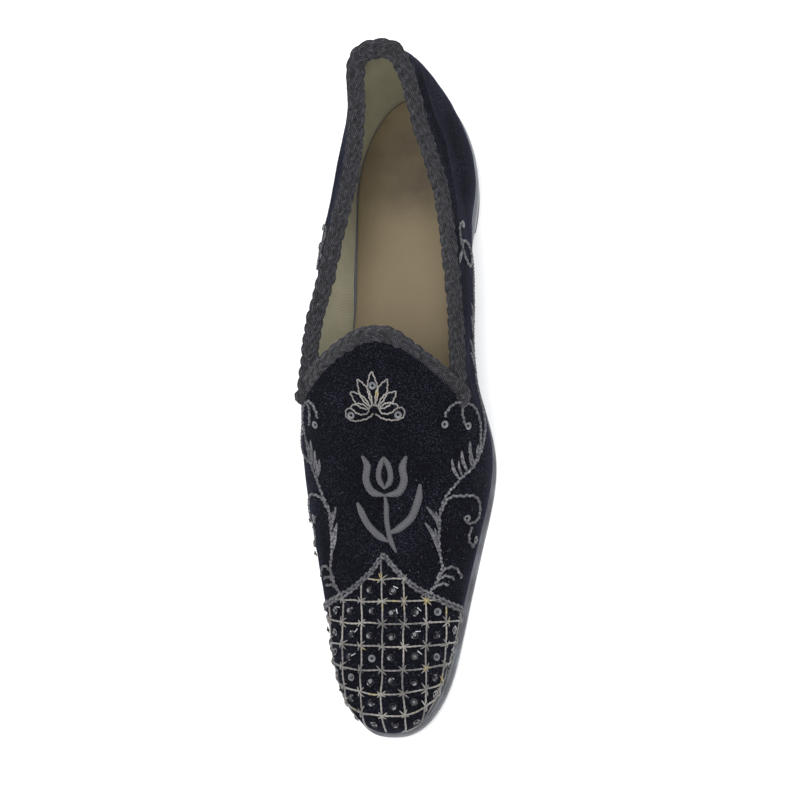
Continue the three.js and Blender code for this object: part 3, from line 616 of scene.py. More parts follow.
# The net ends this far above the sole. Its cords' ends are found in small steps.
SOLE_LINE = 1.6
SEARCH_STEP = 0.25
SHORTEST_CORD = 6
# How far a hand strays from the drawn line, in mm.
SWAY_SPACING = 8
NET_SWAY = 0.7
CORD_SWAY = 0.5
FINE_SWAY = 0.4


def smooth_line(stations, step):
    """Points every step along a smooth line through the stations."""
    line = []
    last = len(stations) - 1
    for i in range(last):
        a, b, c, d = (Vector(stations[min(max(i + k, 0), last)]) for k in (-1, 0, 1, 2))
        count = max(1, round((c - b).length / step))
        for j in range(count):
            t = j / count
            line.append(0.5 * (2 * b + (c - a) * t + (2 * a - 5 * b + 4 * c - d) * t * t
                               + (3 * b - a - 3 * c + d) * t ** 3))
    line.append(Vector(stations[-1]))
    return line


def velvet_reach(side, distance):
    """The girth from the centre line to the sole."""
    index = min(max(int(distance), FIRST_FAN), LAST_FAN - 1)
    near, far = fans[side, index][0][-1], fans[side, index + 1][0][-1]
    return near + (far - near) * min(distance - index, 1)


def on_pile(girth, distance, lift=0.0):
    """A place on the vamp's velvet as (point, normal), raised by a lift."""
    point = on_vamp(girth, distance)
    normal = surface.find_nearest(point)[1]
    if normal.dot(point - Vector((0, point.y, AXIS_HEIGHT - 25))) < 0:
        normal = -normal
    return point + normal * lift, normal


def sweep(stitches, path, section):
    """Sweeps a closed section along (point, normal) pairs and closes both ends."""
    first = len(stitches["points"])
    run, runs = 0.0, []
    for index, (point, normal) in enumerate(path):
        before, after = path[max(index - 1, 0)][0], path[min(index + 1, len(path) - 1)][0]
        along = (after - before).normalized()
        across = along.cross(normal).normalized()
        up = across.cross(along)
        run += (point - before).length if index else 0
        runs.append(run)
        ring = section(index / (len(path) - 1), run)
        stitches["points"] += [(point + across * a + up * b) * MM for a, b in ring]
    sides = len(ring)
    for index in range(len(path) - 1):
        for k in range(sides):
            here, there = first + index * sides, first + (index + 1) * sides
            stitches["faces"].append((here + k, there + k, there + (k + 1) % sides, here + (k + 1) % sides))
            stitches["places"] += [(k / sides, runs[index]), (k / sides, runs[index + 1]),
                                   ((k + 1) / sides, runs[index + 1]), ((k + 1) / sides, runs[index])]
    last = first + (len(path) - 1) * sides
    stitches["faces"].append(tuple(range(first, first + sides)))
    stitches["faces"].append(tuple(range(last + sides - 1, last - 1, -1)))
    stitches["places"] += [(k / sides, 0) for k in range(sides)] * 2


def twisted_cord(radius, lay=2.2, sides=CORD_SIDES):
    """The section of a cord of twisted plies that lies on the velvet."""
    def section(share, run):
        end = CORD_TIP if share in (0, 1) else 1
        ring = []
        for k in range(sides):
            angle = 2 * math.pi * k / sides
            reach = radius * end * (1 + PLY_DEPTH * math.cos(CORD_PLIES * angle - 2 * math.pi * run / lay))
            ring.append((reach * math.cos(angle), reach * math.sin(angle) + radius * TWISTED_SUNK))
        return ring
    return section


def knotted_cord(radius, link=1.6):
    """The section of a cord of small loops, one lump after another."""
    def section(share, run):
        end = CORD_TIP if share in (0, 1) else 1
        side = KNOT_STAGGER * radius * (-1) ** int(run / link)
        swell = radius * end * (KNOT_NECK + KNOT_SWELL * abs(math.sin(math.pi * run / link)) ** 0.8)
        return [(side + swell * math.cos(2 * math.pi * k / CORD_SIDES),
                 swell * math.sin(2 * math.pi * k / CORD_SIDES) + radius * KNOTTED_SUNK)
                for k in range(CORD_SIDES)]
    return section


def new_stitches():
    return {"points": [], "faces": [], "places": []}


def stitched_piece(name, stitches, material):
    """Makes the collected stitches one piece, with a map of (round, along) in mm."""
    mesh = bpy.data.meshes.new(name)
    mesh.from_pydata(stitches["points"], [], stitches["faces"])
    lay_map = mesh.uv_layers.new(name="lay")
    for loop, place in zip(lay_map.data, stitches["places"]):
        loop.uv = place
    mesh.materials.append(material)
    piece = new_piece(name, mesh)
    bpy.ops.object.shade_smooth_by_angle(angle=math.radians(60))
    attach(piece, "root")
    return piece


def unsteady(place, sway):
    """A (girth or distance, distance or height) place in mm, moved a little as a hand lays it."""
    here = Vector((place[0] / SWAY_SPACING, place[1] / SWAY_SPACING, 2.5))
    return place[0] + sway * noise.noise(here), place[1] + sway * noise.noise(here + Vector((9, 4, 7)))


def laid(stations, step=0.4, lift=0.0, sway=0.0):
    """The (point, normal) pairs of a line laid on the vamp's velvet."""
    return [on_pile(*unsteady(place, sway), lift) for place in smooth_line(stations, step)]


def border_distance(girth):
    """The border's distance from the heel at a girth."""
    girth = abs(girth)
    for (a, s), (b, t) in zip(BORDER, BORDER[1:]):
        if girth <= b:
            return s + (t - s) * (girth - a) / (b - a)
    return BORDER[-1][1]


def row_place(row, girth):
    """A row's distance from the heel at a girth."""
    distance, bend = LATTICE_ROWS[row]
    return distance - bend * (girth / ROW_BEND_GIRTH) ** 2


# Silvered cotton: a dull grey cord with a faint metallic glint, darker where it
# is tarnished and yellow where the silvering is gone. Its plies are 0.4 mm.
silvered, tree = new_material("silvered_cotton_thread")
place = add_node(tree, "TexCoord").outputs["Object"]
tarnish = add_node(tree, "TexNoise", {"Vector": place, "Scale": 85, "Detail": 4})
tarnished = add_node(tree, "MapRange", {"Value": tarnish, 1: 0.35, 2: 0.68, 3: 0, 4: 1})
grey = add_node(tree, "Mix", {
    0: tarnished, 6: linear(THREAD_TARNISHED), 7: linear(THREAD_SILVER)}, data_type="RGBA")
patch = add_node(tree, "TexNoise", {"Vector": place, "Scale": 105, "Detail": 2})
yellowed = add_node(tree, "MapRange", {"Value": patch, 1: 0.62, 2: 0.7, 3: 0, 4: 0.8})
thread_colour = add_node(tree, "Mix", {
    0: yellowed, 6: grey.outputs[2], 7: linear(THREAD_YELLOWED)}, data_type="RGBA")
fibres = add_node(tree, "TexNoise", {"Vector": place, "Scale": 2500, "Detail": 2})
fuzz = add_node(tree, "Bump", {"Height": fibres, "Strength": 0.5, "Distance": 0.0002})
finish_material(tree, {
    "Base Color": thread_colour.outputs[2], "Roughness": 0.55, "Metallic": 0.2,
    "Sheen Weight": 0.15, "Normal": fuzz})

# Tarnished silver cord: the same thread gone almost black in its hollows, with
# grey high spots where it was touched, so it looks rough and mottled.
tarnished_cord, tree = new_material("tarnished_silver_cord")
place = add_node(tree, "TexCoord").outputs["Object"]
high_places = add_node(tree, "TexNoise", {"Vector": place, "Scale": 900, "Detail": 2})
high_share = add_node(tree, "MapRange", {"Value": high_places, 1: 0.38, 2: 0.66, 3: 0, 4: 1})
wear = add_node(tree, "TexNoise", {"Vector": place, "Scale": 70, "Detail": 3})
wear_share = add_node(tree, "MapRange", {"Value": wear, 1: 0.36, 2: 0.64, 3: 0.35, 4: 1})
greyed = add_node(tree, "Math", {0: high_share, 1: wear_share}, operation="MULTIPLY")
cord_grey = add_node(tree, "Mix", {
    0: greyed, 6: linear(CORD_BLACKENED), 7: linear(CORD_GREY)}, data_type="RGBA")
lumps = add_node(tree, "Bump", {"Height": high_places, "Strength": 0.8, "Distance": 0.0003})
finish_material(tree, {
    "Base Color": cord_grey.outputs[2], "Roughness": 0.6, "Metallic": 0.2, "Normal": lumps})

net = new_stitches()
for girth in LATTICE_COLUMNS:
    side = 1 if girth >= 0 else -1
    start = border_distance(girth)
    end = start
    while end < LAST_FAN and velvet_reach(side, end) > abs(girth) + SOLE_LINE:
        end += SEARCH_STEP
    if end - start > SHORTEST_CORD:
        sweep(net, laid([(girth, start + (end - start) * k / 6) for k in range(7)], sway=NET_SWAY),
              twisted_cord(LATTICE_CORD_RADIUS))
for row in range(len(LATTICE_ROWS)):
    ends = []
    for side in (-1, 1):
        girth = 1.0
        while (row_place(row, girth) > border_distance(girth)
               and velvet_reach(side, row_place(row, girth)) > girth + SOLE_LINE):
            girth += SEARCH_STEP
        ends.append(side * girth)
    stations = [ends[0] + (ends[1] - ends[0]) * k / 14 for k in range(15)]
    sweep(net, laid([(girth, row_place(row, girth)) for girth in stations], lift=0.3, sway=NET_SWAY),
          twisted_cord(LATTICE_CORD_RADIUS))
for side in (-1, 1):
    edge = [(side * (velvet_reach(side, s) - SOLE_LINE), s) for s in range(236, LAST_FAN, 3)]
    sweep(net, laid(edge, sway=CORD_SWAY), twisted_cord(LATTICE_CORD_RADIUS))
stitched_piece("toe_lattice", net, silvered)

border = new_stitches()
for side in (-1, 1):
    for shift, loop_length in BORDER_CORDS:
        line = [(side * (girth + 0.01), distance + shift) for girth, distance in BORDER]
        sweep(border, laid(line, step=0.3, lift=0.1, sway=CORD_SWAY),
              knotted_cord(BORDER_CORD_RADIUS, link=loop_length))
stitched_piece("pointed_border", border, tarnished_cord)

# Star stitches
# Each crossing of the net is tied down by two long stitches laid slantwise over
# it, which make it a star of eight rays. They are the same silvered thread,
# single, pulled down into the pile at both ends.
STAR_RAY = 2.6
STITCH_RADIUS = 0.3
STITCH_LAY = 1.6
STITCH_STEPS = 8
STITCH_SUNK = 0.25
STAR_RISE = 1.35
STAR_FROM_SOLE = 4
chance = random.Random(4)


def raised_stitch(stitches, start, end):
    """One stitch from place to place on the vamp, its ends down in the pile."""
    path = []
    for k in range(STITCH_STEPS + 1):
        share = k / STITCH_STEPS
        path.append(on_pile(start[0] + (end[0] - start[0]) * share, start[1] + (end[1] - start[1]) * share,
                            STAR_RISE * math.sin(math.pi * share) - STITCH_SUNK))
    sweep(stitches, path, twisted_cord(STITCH_RADIUS, lay=STITCH_LAY, sides=6))


stars = new_stitches()
for girth in LATTICE_COLUMNS:
    for row in range(len(LATTICE_ROWS)):
        distance = row_place(row, girth)
        side = 1 if girth >= 0 else -1
        if (distance < border_distance(girth) - 1
                or velvet_reach(side, distance) < abs(girth) + STAR_FROM_SOLE):
            continue
        for slant in (math.pi / 4, -math.pi / 4):
            turn = slant + chance.uniform(-0.3, 0.3)
            ray = STAR_RAY * chance.uniform(0.7, 1.1)
            across, along = ray * math.cos(turn), ray * math.sin(turn)
            raised_stitch(stars, (girth - across, distance - along), (girth + across, distance + along))
stitched_piece("star_stitches", stars, silvered)

# Sequins and beads
# A cupped black gelatine sequin, 3.3 mm across, is sewn in each square through a
# small glass bead. A few sequins have gone pale grey, and in some squares a
# thin glass bugle lies slantwise beside it. More of them follow the vines.
SEQUIN_WIDTH = 3.3
# The cup goes down in two steps to its hole, of a width and a depth in mm.
SEQUIN_STEPS = ((0.5, 0.26), (0.5, 0.08))
BEAD_WIDTH = 1.3
BUGLE_LENGTH = 2.3
BUGLE_WIDTH = 0.55
FOIL_THICKNESS = 0.12
BUGLE_ROUNDING = 0.12
SEQUIN_LIFT = 0.75
SEQUIN_TILT = 0.25
BEAD_LIFT = 1.0
BUGLE_LIFT = 0.5
SQUARE_SWAY = 0.7
LAST_SEQUIN = 286.5
# Squares, as (column, row), whose sequin is faded, and those with a bugle.
FADED_SQUARES = ((2, 1), (2, 3), (-1, 3), (-2, 4))
BUGLE_SQUARES = ((-2, 0), (0, 0), (1, 1), (0, 1), (-2, 2), (1, 2), (-2, 3),
                 (1, 3), (3, 1), (3, 2), (3, 3), (2, 5), (-3, 1))
# Faded rings and black sequins sewn on the vamp beside the vines: girth and distance in mm.
VINE_RINGS = ((27.6, 161.3), (39.2, 160.5), (37.4, 197.4), (-31, 161), (-38.5, 197.4))
LOOSE_SEQUINS = ((-43.5, 162), (-48, 196.9), (-43, 211.4), (43.9, 205.3))


def model_sequin():
    """One cupped sequin with its hole, facing up at the origin."""
    bpy.ops.object.select_all(action="DESELECT")
    bpy.ops.mesh.primitive_circle_add(vertices=14, radius=SEQUIN_WIDTH / 2 * MM, fill_type="NGON")
    sequin = bpy.context.object
    bpy.ops.object.mode_set(mode="EDIT")
    bpy.ops.mesh.select_mode(type="FACE")
    bpy.ops.mesh.select_all(action="SELECT")
    for width, depth in SEQUIN_STEPS:
        bpy.ops.mesh.inset(thickness=width * MM, depth=-depth * MM)
    bpy.ops.mesh.delete(type="FACE")
    bpy.ops.object.mode_set(mode="OBJECT")
    apply_modifier(sequin, "SOLIDIFY", thickness=FOIL_THICKNESS * MM, offset=0)
    return sequin


def model_bead():
    """One round glass bead with its hole upwards."""
    bpy.ops.object.select_all(action="DESELECT")
    bpy.ops.mesh.primitive_torus_add(
        major_radius=BEAD_WIDTH * 0.3 * MM, minor_radius=BEAD_WIDTH * 0.22 * MM,
        major_segments=10, minor_segments=6)
    bead = bpy.context.object
    bpy.ops.object.mode_set(mode="EDIT")
    bpy.ops.mesh.select_all(action="SELECT")
    bpy.ops.transform.resize(value=(1, 1, 1.35))
    bpy.ops.object.mode_set(mode="OBJECT")
    return bead


def model_bugle():
    """One glass bugle lying along X, an eight-sided rod with softened ends."""
    bpy.ops.object.select_all(action="DESELECT")
    bpy.ops.mesh.primitive_cylinder_add(
        vertices=8, radius=BUGLE_WIDTH / 2 * MM, depth=BUGLE_LENGTH * MM, rotation=(0, math.pi / 2, 0))
    bpy.ops.object.transform_apply(location=False, rotation=True, scale=False)
    bugle = bpy.context.object
    apply_modifier(bugle, "BEVEL", width=BUGLE_ROUNDING * MM, segments=2, limit_method="ANGLE")
    return bugle


def sewn_copies(name, pattern, places, material):
    """Copies a modelled pattern to (point, normal, turn) places in mm and joins the copies."""
    copies = []
    for point, normal, turn in places:
        copy = bpy.data.objects.new(name, pattern.data.copy())
        scene.collection.objects.link(copy)
        lean = normal.to_track_quat("Z", "Y").to_matrix().to_4x4()
        copy.matrix_world = Matrix.Translation(point * MM) @ lean @ Matrix.Rotation(turn, 4, "Z")
        copies.append(copy)
    bpy.ops.object.select_all(action="DESELECT")
    for copy in copies:
        copy.select_set(True)
    bpy.context.view_layer.objects.active = copies[0]
    bpy.ops.object.join()
    bpy.ops.object.transform_apply(location=True, rotation=True, scale=True)
    piece = bpy.context.object
    piece.name = name
    piece.data.materials.clear()
    piece.data.materials.append(material)
    bpy.ops.object.shade_smooth_by_angle(angle=math.radians(40))
    bpy.data.objects.remove(pattern)
    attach(piece, "root")


squares = []
for column in range(-4, 4):
    girth = LATTICE_MIDDLE + LATTICE_SPACING * (column + 0.5)
    side = 1 if girth >= 0 else -1
    rows = [row_place(row, girth) for row in range(len(LATTICE_ROWS))]
    for row, (near, far) in enumerate(zip(rows, rows[1:] + [rows[-1] + 8])):
        distance = (near + far) / 2
        if distance < border_distance(girth) + 2 or distance > LAST_SEQUIN:
            continue
        if velvet_reach(side, distance) > abs(girth) + STAR_FROM_SOLE:
            squares.append(((column, row), girth + chance.uniform(-SQUARE_SWAY, SQUARE_SWAY),
                            distance + chance.uniform(-SQUARE_SWAY, SQUARE_SWAY)))
squares += [("ring", *place) for place in VINE_RINGS] + [("loose", *place) for place in LOOSE_SEQUINS]

sequin_places, bead_places, faded_places, bugle_places = [], [], [], []
for square, girth, distance in squares:
    point, normal = on_pile(girth, distance)
    tilt = Vector((chance.uniform(-SEQUIN_TILT, SEQUIN_TILT), chance.uniform(-SEQUIN_TILT, SEQUIN_TILT), 0))
    lean = (normal + tilt).normalized()
    faded = square == "ring" or square in FADED_SQUARES
    (faded_places if faded else sequin_places).append(
        (point + lean * SEQUIN_LIFT, lean, chance.uniform(0, 6)))
    if square != "ring":
        bead_places.append((point + lean * BEAD_LIFT, lean, 0.0))
    if square in BUGLE_SQUARES:
        across, along = chance.uniform(1.2, 2.2), chance.uniform(-2, -1)
        beside, up = on_pile(girth + across, distance + along)
        bugle_places.append((beside + up * BUGLE_LIFT, up, chance.uniform(0.6, 2.2)))

# Dyed gelatine foil, pressed to a cup: black, with a sharp glint, and where its
# dye has faded a dull mottled grey. The beads are smoky pressed glass, glossy. The
# bugles are clear drawn glass, made opaque pale grey as a painted glint.
gelatine, tree = new_material("black_gelatine_foil")
finish_material(tree, {
    "Base Color": linear("#101014"), "Roughness": 0.22, "Metallic": 0.35, "Coat Weight": 0.6})
faded_gelatine, tree = new_material("faded_grey_gelatine")
place = add_node(tree, "TexCoord").outputs["Object"]
fading = add_node(tree, "TexNoise", {"Vector": place, "Scale": 600})
faded = add_node(tree, "Mix", {0: fading, 6: linear("#414346"), 7: linear("#66686a")}, data_type="RGBA")
finish_material(tree, {
    "Base Color": faded.outputs[2], "Roughness": 0.5, "Metallic": 0.15})
jet, tree = new_material("smoky_pressed_glass")
finish_material(tree, {
    "Base Color": linear("#26272c"), "Roughness": 0.1, "IOR": 1.52, "Coat Weight": 0.5})
# Painted glint: the clear bugles are opaque pale grey, for the light they catch.
glint_grey_glass, tree = new_material("bugle_glass_painted_glint")
finish_material(tree, {
    "Base Color": linear("#8d8f92"), "Roughness": 0.2, "IOR": 1.52, "Metallic": 0.1})
sewn_copies("black_sequins", model_sequin(), sequin_places, gelatine)
sewn_copies("faded_sequins", model_sequin(), faded_places, faded_gelatine)
sewn_copies("sequin_beads", model_bead(), bead_places, jet)
sewn_copies("bugle_beads", model_bugle(), bugle_places, glint_grey_glass)

# Vines
# A vine of tarnished silver cord climbs each side of the vamp from the border
# and runs on along the quarter, with scrolls, and small leaves of straight
# satin stitches. All is couched by hand, so the outer one is drawn in a little.
VINE_CORD_RADIUS = 0.6
LEAF_HEIGHT = 0.42
# The outer side's vine: its leaves are wider, it is shifted out, and it is drawn in
# beyond a girth, more so over the joint of the toes. Its leaves lean out up to a girth.
OUTER_LEAF_WIDER = 1.15
OUTER_SHIFT = 2.2
OUTER_DRAWN_FROM = 26
OUTER_DRAWN, OUTER_DRAWN_OVER_JOINT = 0.1, 0.32
JOINT_DISTANCE, JOINT_FADE = 186, 8
OUTER_LEAN, OUTER_LEAN_TO, OUTER_LEAN_END = 0.6, 22, 220
VINE_NODE = (40.9, 176.1)
VINE_STEM = ((19.1, 230.6), (22.7, 225.7), (24.5, 219.8), (23.7, 213.2), (23.7, 204.6), (24.3, 195.6),
             (28.6, 188.4), (34.1, 181.4), VINE_NODE, (44.8, 171.2), (47.3, 163.6), (48.6, 157.5),
             (46.1, 153.2), (40.5, 151.8), (36.9, 154.4), (37.1, 158.2), (38.0, 160.4))
VINE_SCROLLS = (
    ((24.6, 195.8), (28.1, 191.2), (32.5, 189.2), (39.4, 187.9), (44.4, 189.6), (46.4, 193.2),
     (45.0, 196.6), (41.0, 199.0), (37.4, 199.4), (35.8, 197.2)),
    ((40.5, 200.6), (38.8, 203.6), (39.2, 206.6), (42.2, 208.2), (43.6, 206.0)),
    ((41.0, 151.9), (36.4, 151.6), (32.2, 153.4), (29.2, 156.4), (28.2, 158.6)),
)
# Leaves: the places from root to point, and the width, in mm.
VINE_LEAVES = (
    (((23.8, 203.8), (22.8, 199.8), (20.8, 197.4), (18.4, 194.8)), 1.8),
    (((23.9, 200.6), (22.9, 198.4), (22.4, 196.4)), 1.2),
    (((24.0, 213.5), (21.9, 207.9), (20.2, 204.7), (17.5, 201.3)), 1.9),
    (((23.9, 209.5), (22.6, 206.0), (21.8, 203.2)), 1.4),
    (((33.4, 182.0), (31.0, 178.6), (30.4, 174.6)), 1.6),
    (((35.0, 180.6), (33.8, 178.0), (33.6, 175.0)), 1.3),
    (((37.6, 178.4), (35.6, 174.6), (35.4, 170.8)), 1.7),
    (((40.6, 176.4), (39.6, 173.4), (39.8, 170.2)), 1.3),
    (((41.8, 175.2), (39.9, 171.0), (39.9, 166.4)), 1.8),
    (((44.0, 172.2), (44.2, 169.2), (45.6, 166.6)), 1.5),
)
# Sprays of cord beside the border.
VINE_SPRAYS = (
    ((22.6, 224.2), (24.6, 220.7), (27.2, 219.1), (30.0, 218.6), (32.7, 219.6), (35.0, 222.2)),
    ((22.2, 226.0), (24.8, 223.3), (27.5, 222.7), (30.7, 223.5)),
    ((20.6, 228.6), (24.6, 226.2), (28.2, 226.4)),
)
# The same on a quarter, as (distance from the heel, height) in mm.
QUARTER_STEM = ((166, 30.5), (152, 30), (138, 31), (126, 32), (114, 33), (103, 33), (94, 32.6), (87.5, 34),
                (83.2, 37.2), (80.6, 41.8), (80.8, 46.4), (83.6, 48.2), (85.4, 47.6))
QUARTER_SCROLLS = (
    ((84.4, 48), (82, 49.8), (77.5, 50.7), (74.4, 50.2), (73.2, 49)),
    ((84.8, 47.6), (87.4, 45.6), (89.8, 42.6), (90, 39.8), (88.6, 38.4)),
)
QUARTER_LEAVES = (
    (((156, 30.1), (152.6, 28.4), (150.5, 25.2)), 1.5),
    (((151, 30), (147.4, 28.2), (145, 24.6)), 1.7),
    (((146, 30.3), (142.6, 28.8), (140.5, 26)), 1.5),
    (((133, 31.3), (129.4, 32.8), (127, 36)), 1.5),
    (((128, 31.8), (124, 33.8), (121.5, 37)), 1.7),
    (((118, 32.8), (114, 34.6), (111.6, 38)), 1.7),
    (((113, 33), (108.8, 34.8), (106, 38)), 1.5),
    (((116, 32.8), (111.8, 31.4), (109, 28.4)), 1.6),
    (((99, 32.9), (95.4, 31), (93, 27.6)), 1.6),
    (((94.5, 32.6), (91, 31.2), (89, 28.4)), 1.4),
    (((85.4, 48.4), (88.4, 50.8), (91.6, 51.6)), 2.2),
)
# Faded rings on a quarter, as (distance, height).
QUARTER_RINGS = ((73.1, 46.8), (86.9, 37.6))


def vine_place(side, girth, distance):
    """The inner side's vine as drawn; the outer side's is drawn in over the joint of the toes."""
    if side < 0:
        over_joint = min(max((JOINT_DISTANCE - distance) / JOINT_FADE, 0), 1)
        draw = max(girth - OUTER_DRAWN_FROM, 0) * (OUTER_DRAWN + OUTER_DRAWN_OVER_JOINT * over_joint)
        lean = max(OUTER_LEAN_TO - girth, 0) * OUTER_LEAN if distance < OUTER_LEAN_END else 0
        girth = -(girth + OUTER_SHIFT - draw + lean)
    return girth, distance


def on_flank(side, distance, height):
    """A place on a quarter's velvet as (point, normal)."""
    point = on_quarter(side, distance, height)
    normal = surface.find_nearest(point)[1]
    return point, normal if normal.x * side > 0 else -normal


def domed(half, high, arcs, lift, foot, sunk):
    """A domed section, raised by a lift, with a narrower flat foot sunk in the pile."""
    turns = [math.pi * k / arcs for k in range(arcs + 1)]
    dome = [(half * math.cos(turn), high * math.sin(turn) + lift) for turn in turns]
    return dome + [(-half * foot, -sunk), (half * foot, -sunk)]


def leaf_section(width):
    """A small pointed leaf of satin stitches, as one domed form."""
    def section(share, run):
        half = width / 2 * (0.15 + 0.85 * math.sin(math.pi * min(0.06 + share * 0.94, 0.985)) ** 0.7)
        return domed(half, LEAF_HEIGHT * half / (width / 2), arcs=5, lift=0.12, foot=0.8, sunk=0.15)
    return section


vines = new_stitches()
for side, leaf_wider in ((1, 1), (-1, OUTER_LEAF_WIDER)):
    for line in (VINE_STEM,) + VINE_SCROLLS + VINE_SPRAYS:
        sweep(vines, laid([vine_place(side, *place) for place in line], step=0.3, sway=NET_SWAY),
              knotted_cord(VINE_CORD_RADIUS))
    for line, width in VINE_LEAVES:
        sweep(vines, laid([vine_place(side, *place) for place in line]), leaf_section(width * leaf_wider))
    root = (VINE_NODE[1], on_pile(*vine_place(side, *VINE_NODE))[0].z)
    for line in ((root,) + QUARTER_STEM,) + QUARTER_SCROLLS:
        path = [on_flank(side, *unsteady(place, NET_SWAY)) for place in smooth_line(line, 0.3)]
        sweep(vines, path, knotted_cord(VINE_CORD_RADIUS))
    for line, width in QUARTER_LEAVES:
        sweep(vines, [on_flank(side, *place) for place in smooth_line(line, 0.4)], leaf_section(width))
stitched_piece("vine_embroidery", vines, tarnished_cord)
quarter_rings = []
for side in (1, -1):
    for place in QUARTER_RINGS:
        point, normal = on_flank(side, *place)
        quarter_rings.append((point + normal * SEQUIN_LIFT, normal, 0.0))
sewn_copies("quarter_rings", model_sequin(), quarter_rings, faded_gelatine)

# Palmette
# A fan palmette of seven petals is couched on the tab in the silvered thread,
# with two scrolls below it. A faded ring is sewn in the middle petal and in
# each scroll.
PALMETTE_FOOT = (-2, 157.5)
PALMETTE_PETALS = ((-78, 10.5), (-52, 12.5), (-26, 14), (0, 15.5), (26, 14), (52, 12.5), (78, 10.5))
PALMETTE_CORD_RADIUS = 0.36
PALMETTE_LINK = 1.2
PETAL_HALF_WIDTH = 2.1
# A petal's outline: half-widths across and shares of its length, between its two roots.
PETAL_SHAPE = ((-0.75, 0.35), (-1, 0.62), (-0.5, 0.88), (0, 1), (0.5, 0.88), (1, 0.62), (0.75, 0.35))
PETAL_ROOT = 2.2
PALMETTE_SCROLL = ((0.4, 0.6), (4, 2.8), (9, 3.4), (12.6, 1.6), (12.6, -1.2), (10.2, -1.6))
PALMETTE_RING_LIFT = 0.9
PALMETTE_RINGS = ((-2, 147.2), (-12.2, 158.6), (8.2, 158.6))


def petal(degrees, length):
    """The outline of a petal that springs from the foot, in girth and distance."""
    turn = math.radians(degrees)
    root = [(0, PETAL_ROOT)]
    outline = root + [(across * PETAL_HALF_WIDTH, along * length) for across, along in PETAL_SHAPE] + root
    return [(PALMETTE_FOOT[0] + across * math.cos(turn) + along * math.sin(turn),
             PALMETTE_FOOT[1] - along * math.cos(turn) + across * math.sin(turn))
            for across, along in outline]


palmette = new_stitches()
palmette_lines = [petal(degrees, length) for degrees, length in PALMETTE_PETALS]
for side in (-1, 1):
    palmette_lines.append([(PALMETTE_FOOT[0] + side * across, PALMETTE_FOOT[1] + along)
                           for across, along in PALMETTE_SCROLL])
for line in palmette_lines:
    sweep(palmette, laid(line, step=0.3, sway=FINE_SWAY),
          knotted_cord(PALMETTE_CORD_RADIUS, link=PALMETTE_LINK))
stitched_piece("palmette_embroidery", palmette, silvered)
palmette_rings = []
for place in PALMETTE_RINGS:
    point, normal = on_pile(*place)
    palmette_rings.append((point + normal * PALMETTE_RING_LIFT, normal, 0.0))
sewn_copies("palmette_rings", model_sequin(), palmette_rings, faded_gelatine)

# Tulip
# A tulip in raised satin stitch stands on the vamp over the border's point. It
# is worked over padding in grey silk, with the threads across each band, and
# its nap has gone a little woolly.
TULIP_SILK = "#434347"
TULIP_SHADOW = "#1c1c1f"
SATIN_THREAD = 0.7
TULIP_PADDING = 0.85
# Each band: its line in girth and distance, and its greatest width, in mm.
TULIP_BANDS = (
    (((5.5, 214), (2.6, 208.5), (1.2, 202), (1.4, 195), (1.0, 190.5)), 2.2),
    (((1.6, 206), (6.5, 204), (11.5, 199.5), (14.6, 193), (16.2, 186)), 3.2),
    (((1.8, 209.5), (-3.5, 206), (-8.2, 200.5), (-11.4, 193.5)), 3.0),
    (((0.8, 191), (-4.6, 189.4), (-7.4, 184.6), (-6.6, 179), (-8.6, 174.5)), 3.2),
    (((1.2, 191), (6.6, 189.4), (9.4, 184.6), (8.6, 179), (10.6, 174.5)), 3.2),
    (((1, 188.4), (-1.4, 184.5), (-1.2, 180), (1, 175.2)), 2.4),
    (((1, 188.4), (3.4, 184.5), (3.2, 180), (1, 175.2)), 2.4),
)


def satin_band(width):
    """A padded band of stitches, tapered to both ends, each thread proud of the next."""
    def section(share, run):
        half = (width / 2 * min(1, 0.3 + 3.4 * min(share, 1 - share))
                * (1 + 0.05 * (-1) ** int(run / SATIN_THREAD)))
        return domed(half, TULIP_PADDING, arcs=6, lift=0.1, foot=0.85, sunk=0.2)
    return section


tulip = new_stitches()
for line, width in TULIP_BANDS:
    sweep(tulip, laid(line, step=0.3, sway=CORD_SWAY), satin_band(width))

# Grey silk satin stitch: parallel threads slanting across the band, each 0.7 mm
# wide so that they show, soft and a little shiny, with painted shade in the gaps between them.
satin_silk, tree = new_material("grey_silk_satin_stitch")
lay_map = add_node(tree, "UVMap", uv_map="lay")
round_along = add_node(tree, "SeparateXYZ", {0: lay_map})
lean = add_node(tree, "Math", {
    0: round_along.outputs["X"], 1: 2.4, 2: round_along.outputs["Y"]}, operation="MULTIPLY_ADD")
thread = add_node(tree, "Math", {0: lean, 1: SATIN_THREAD / 2}, operation="PINGPONG")
thread_share = add_node(tree, "MapRange", {"Value": thread, 1: 0, 2: SATIN_THREAD / 2, 3: 0, 4: 1})
place = add_node(tree, "TexCoord").outputs["Object"]
woolly = add_node(tree, "TexNoise", {"Vector": place, "Scale": 1100, "Detail": 3})
soft = add_node(tree, "Math", {0: woolly, 1: 0.9, 2: thread_share}, operation="MULTIPLY_ADD")
soft_share = add_node(tree, "MapRange", {"Value": soft, 1: 0.3, 2: 1.3, 3: 0, 4: 1})
silk_colour = add_node(tree, "Mix", {
    0: soft_share, 6: linear(TULIP_SHADOW), 7: linear(TULIP_SILK)}, data_type="RGBA")
threads = add_node(tree, "Bump", {"Height": soft, "Strength": 0.6, "Distance": 0.0002})
finish_material(tree, {
    "Base Color": silk_colour.outputs[2], "Roughness": 0.6, "Sheen Weight": 0.15,
    "Normal": threads})
stitched_piece("tulip_embroidery", tulip, satin_silk)

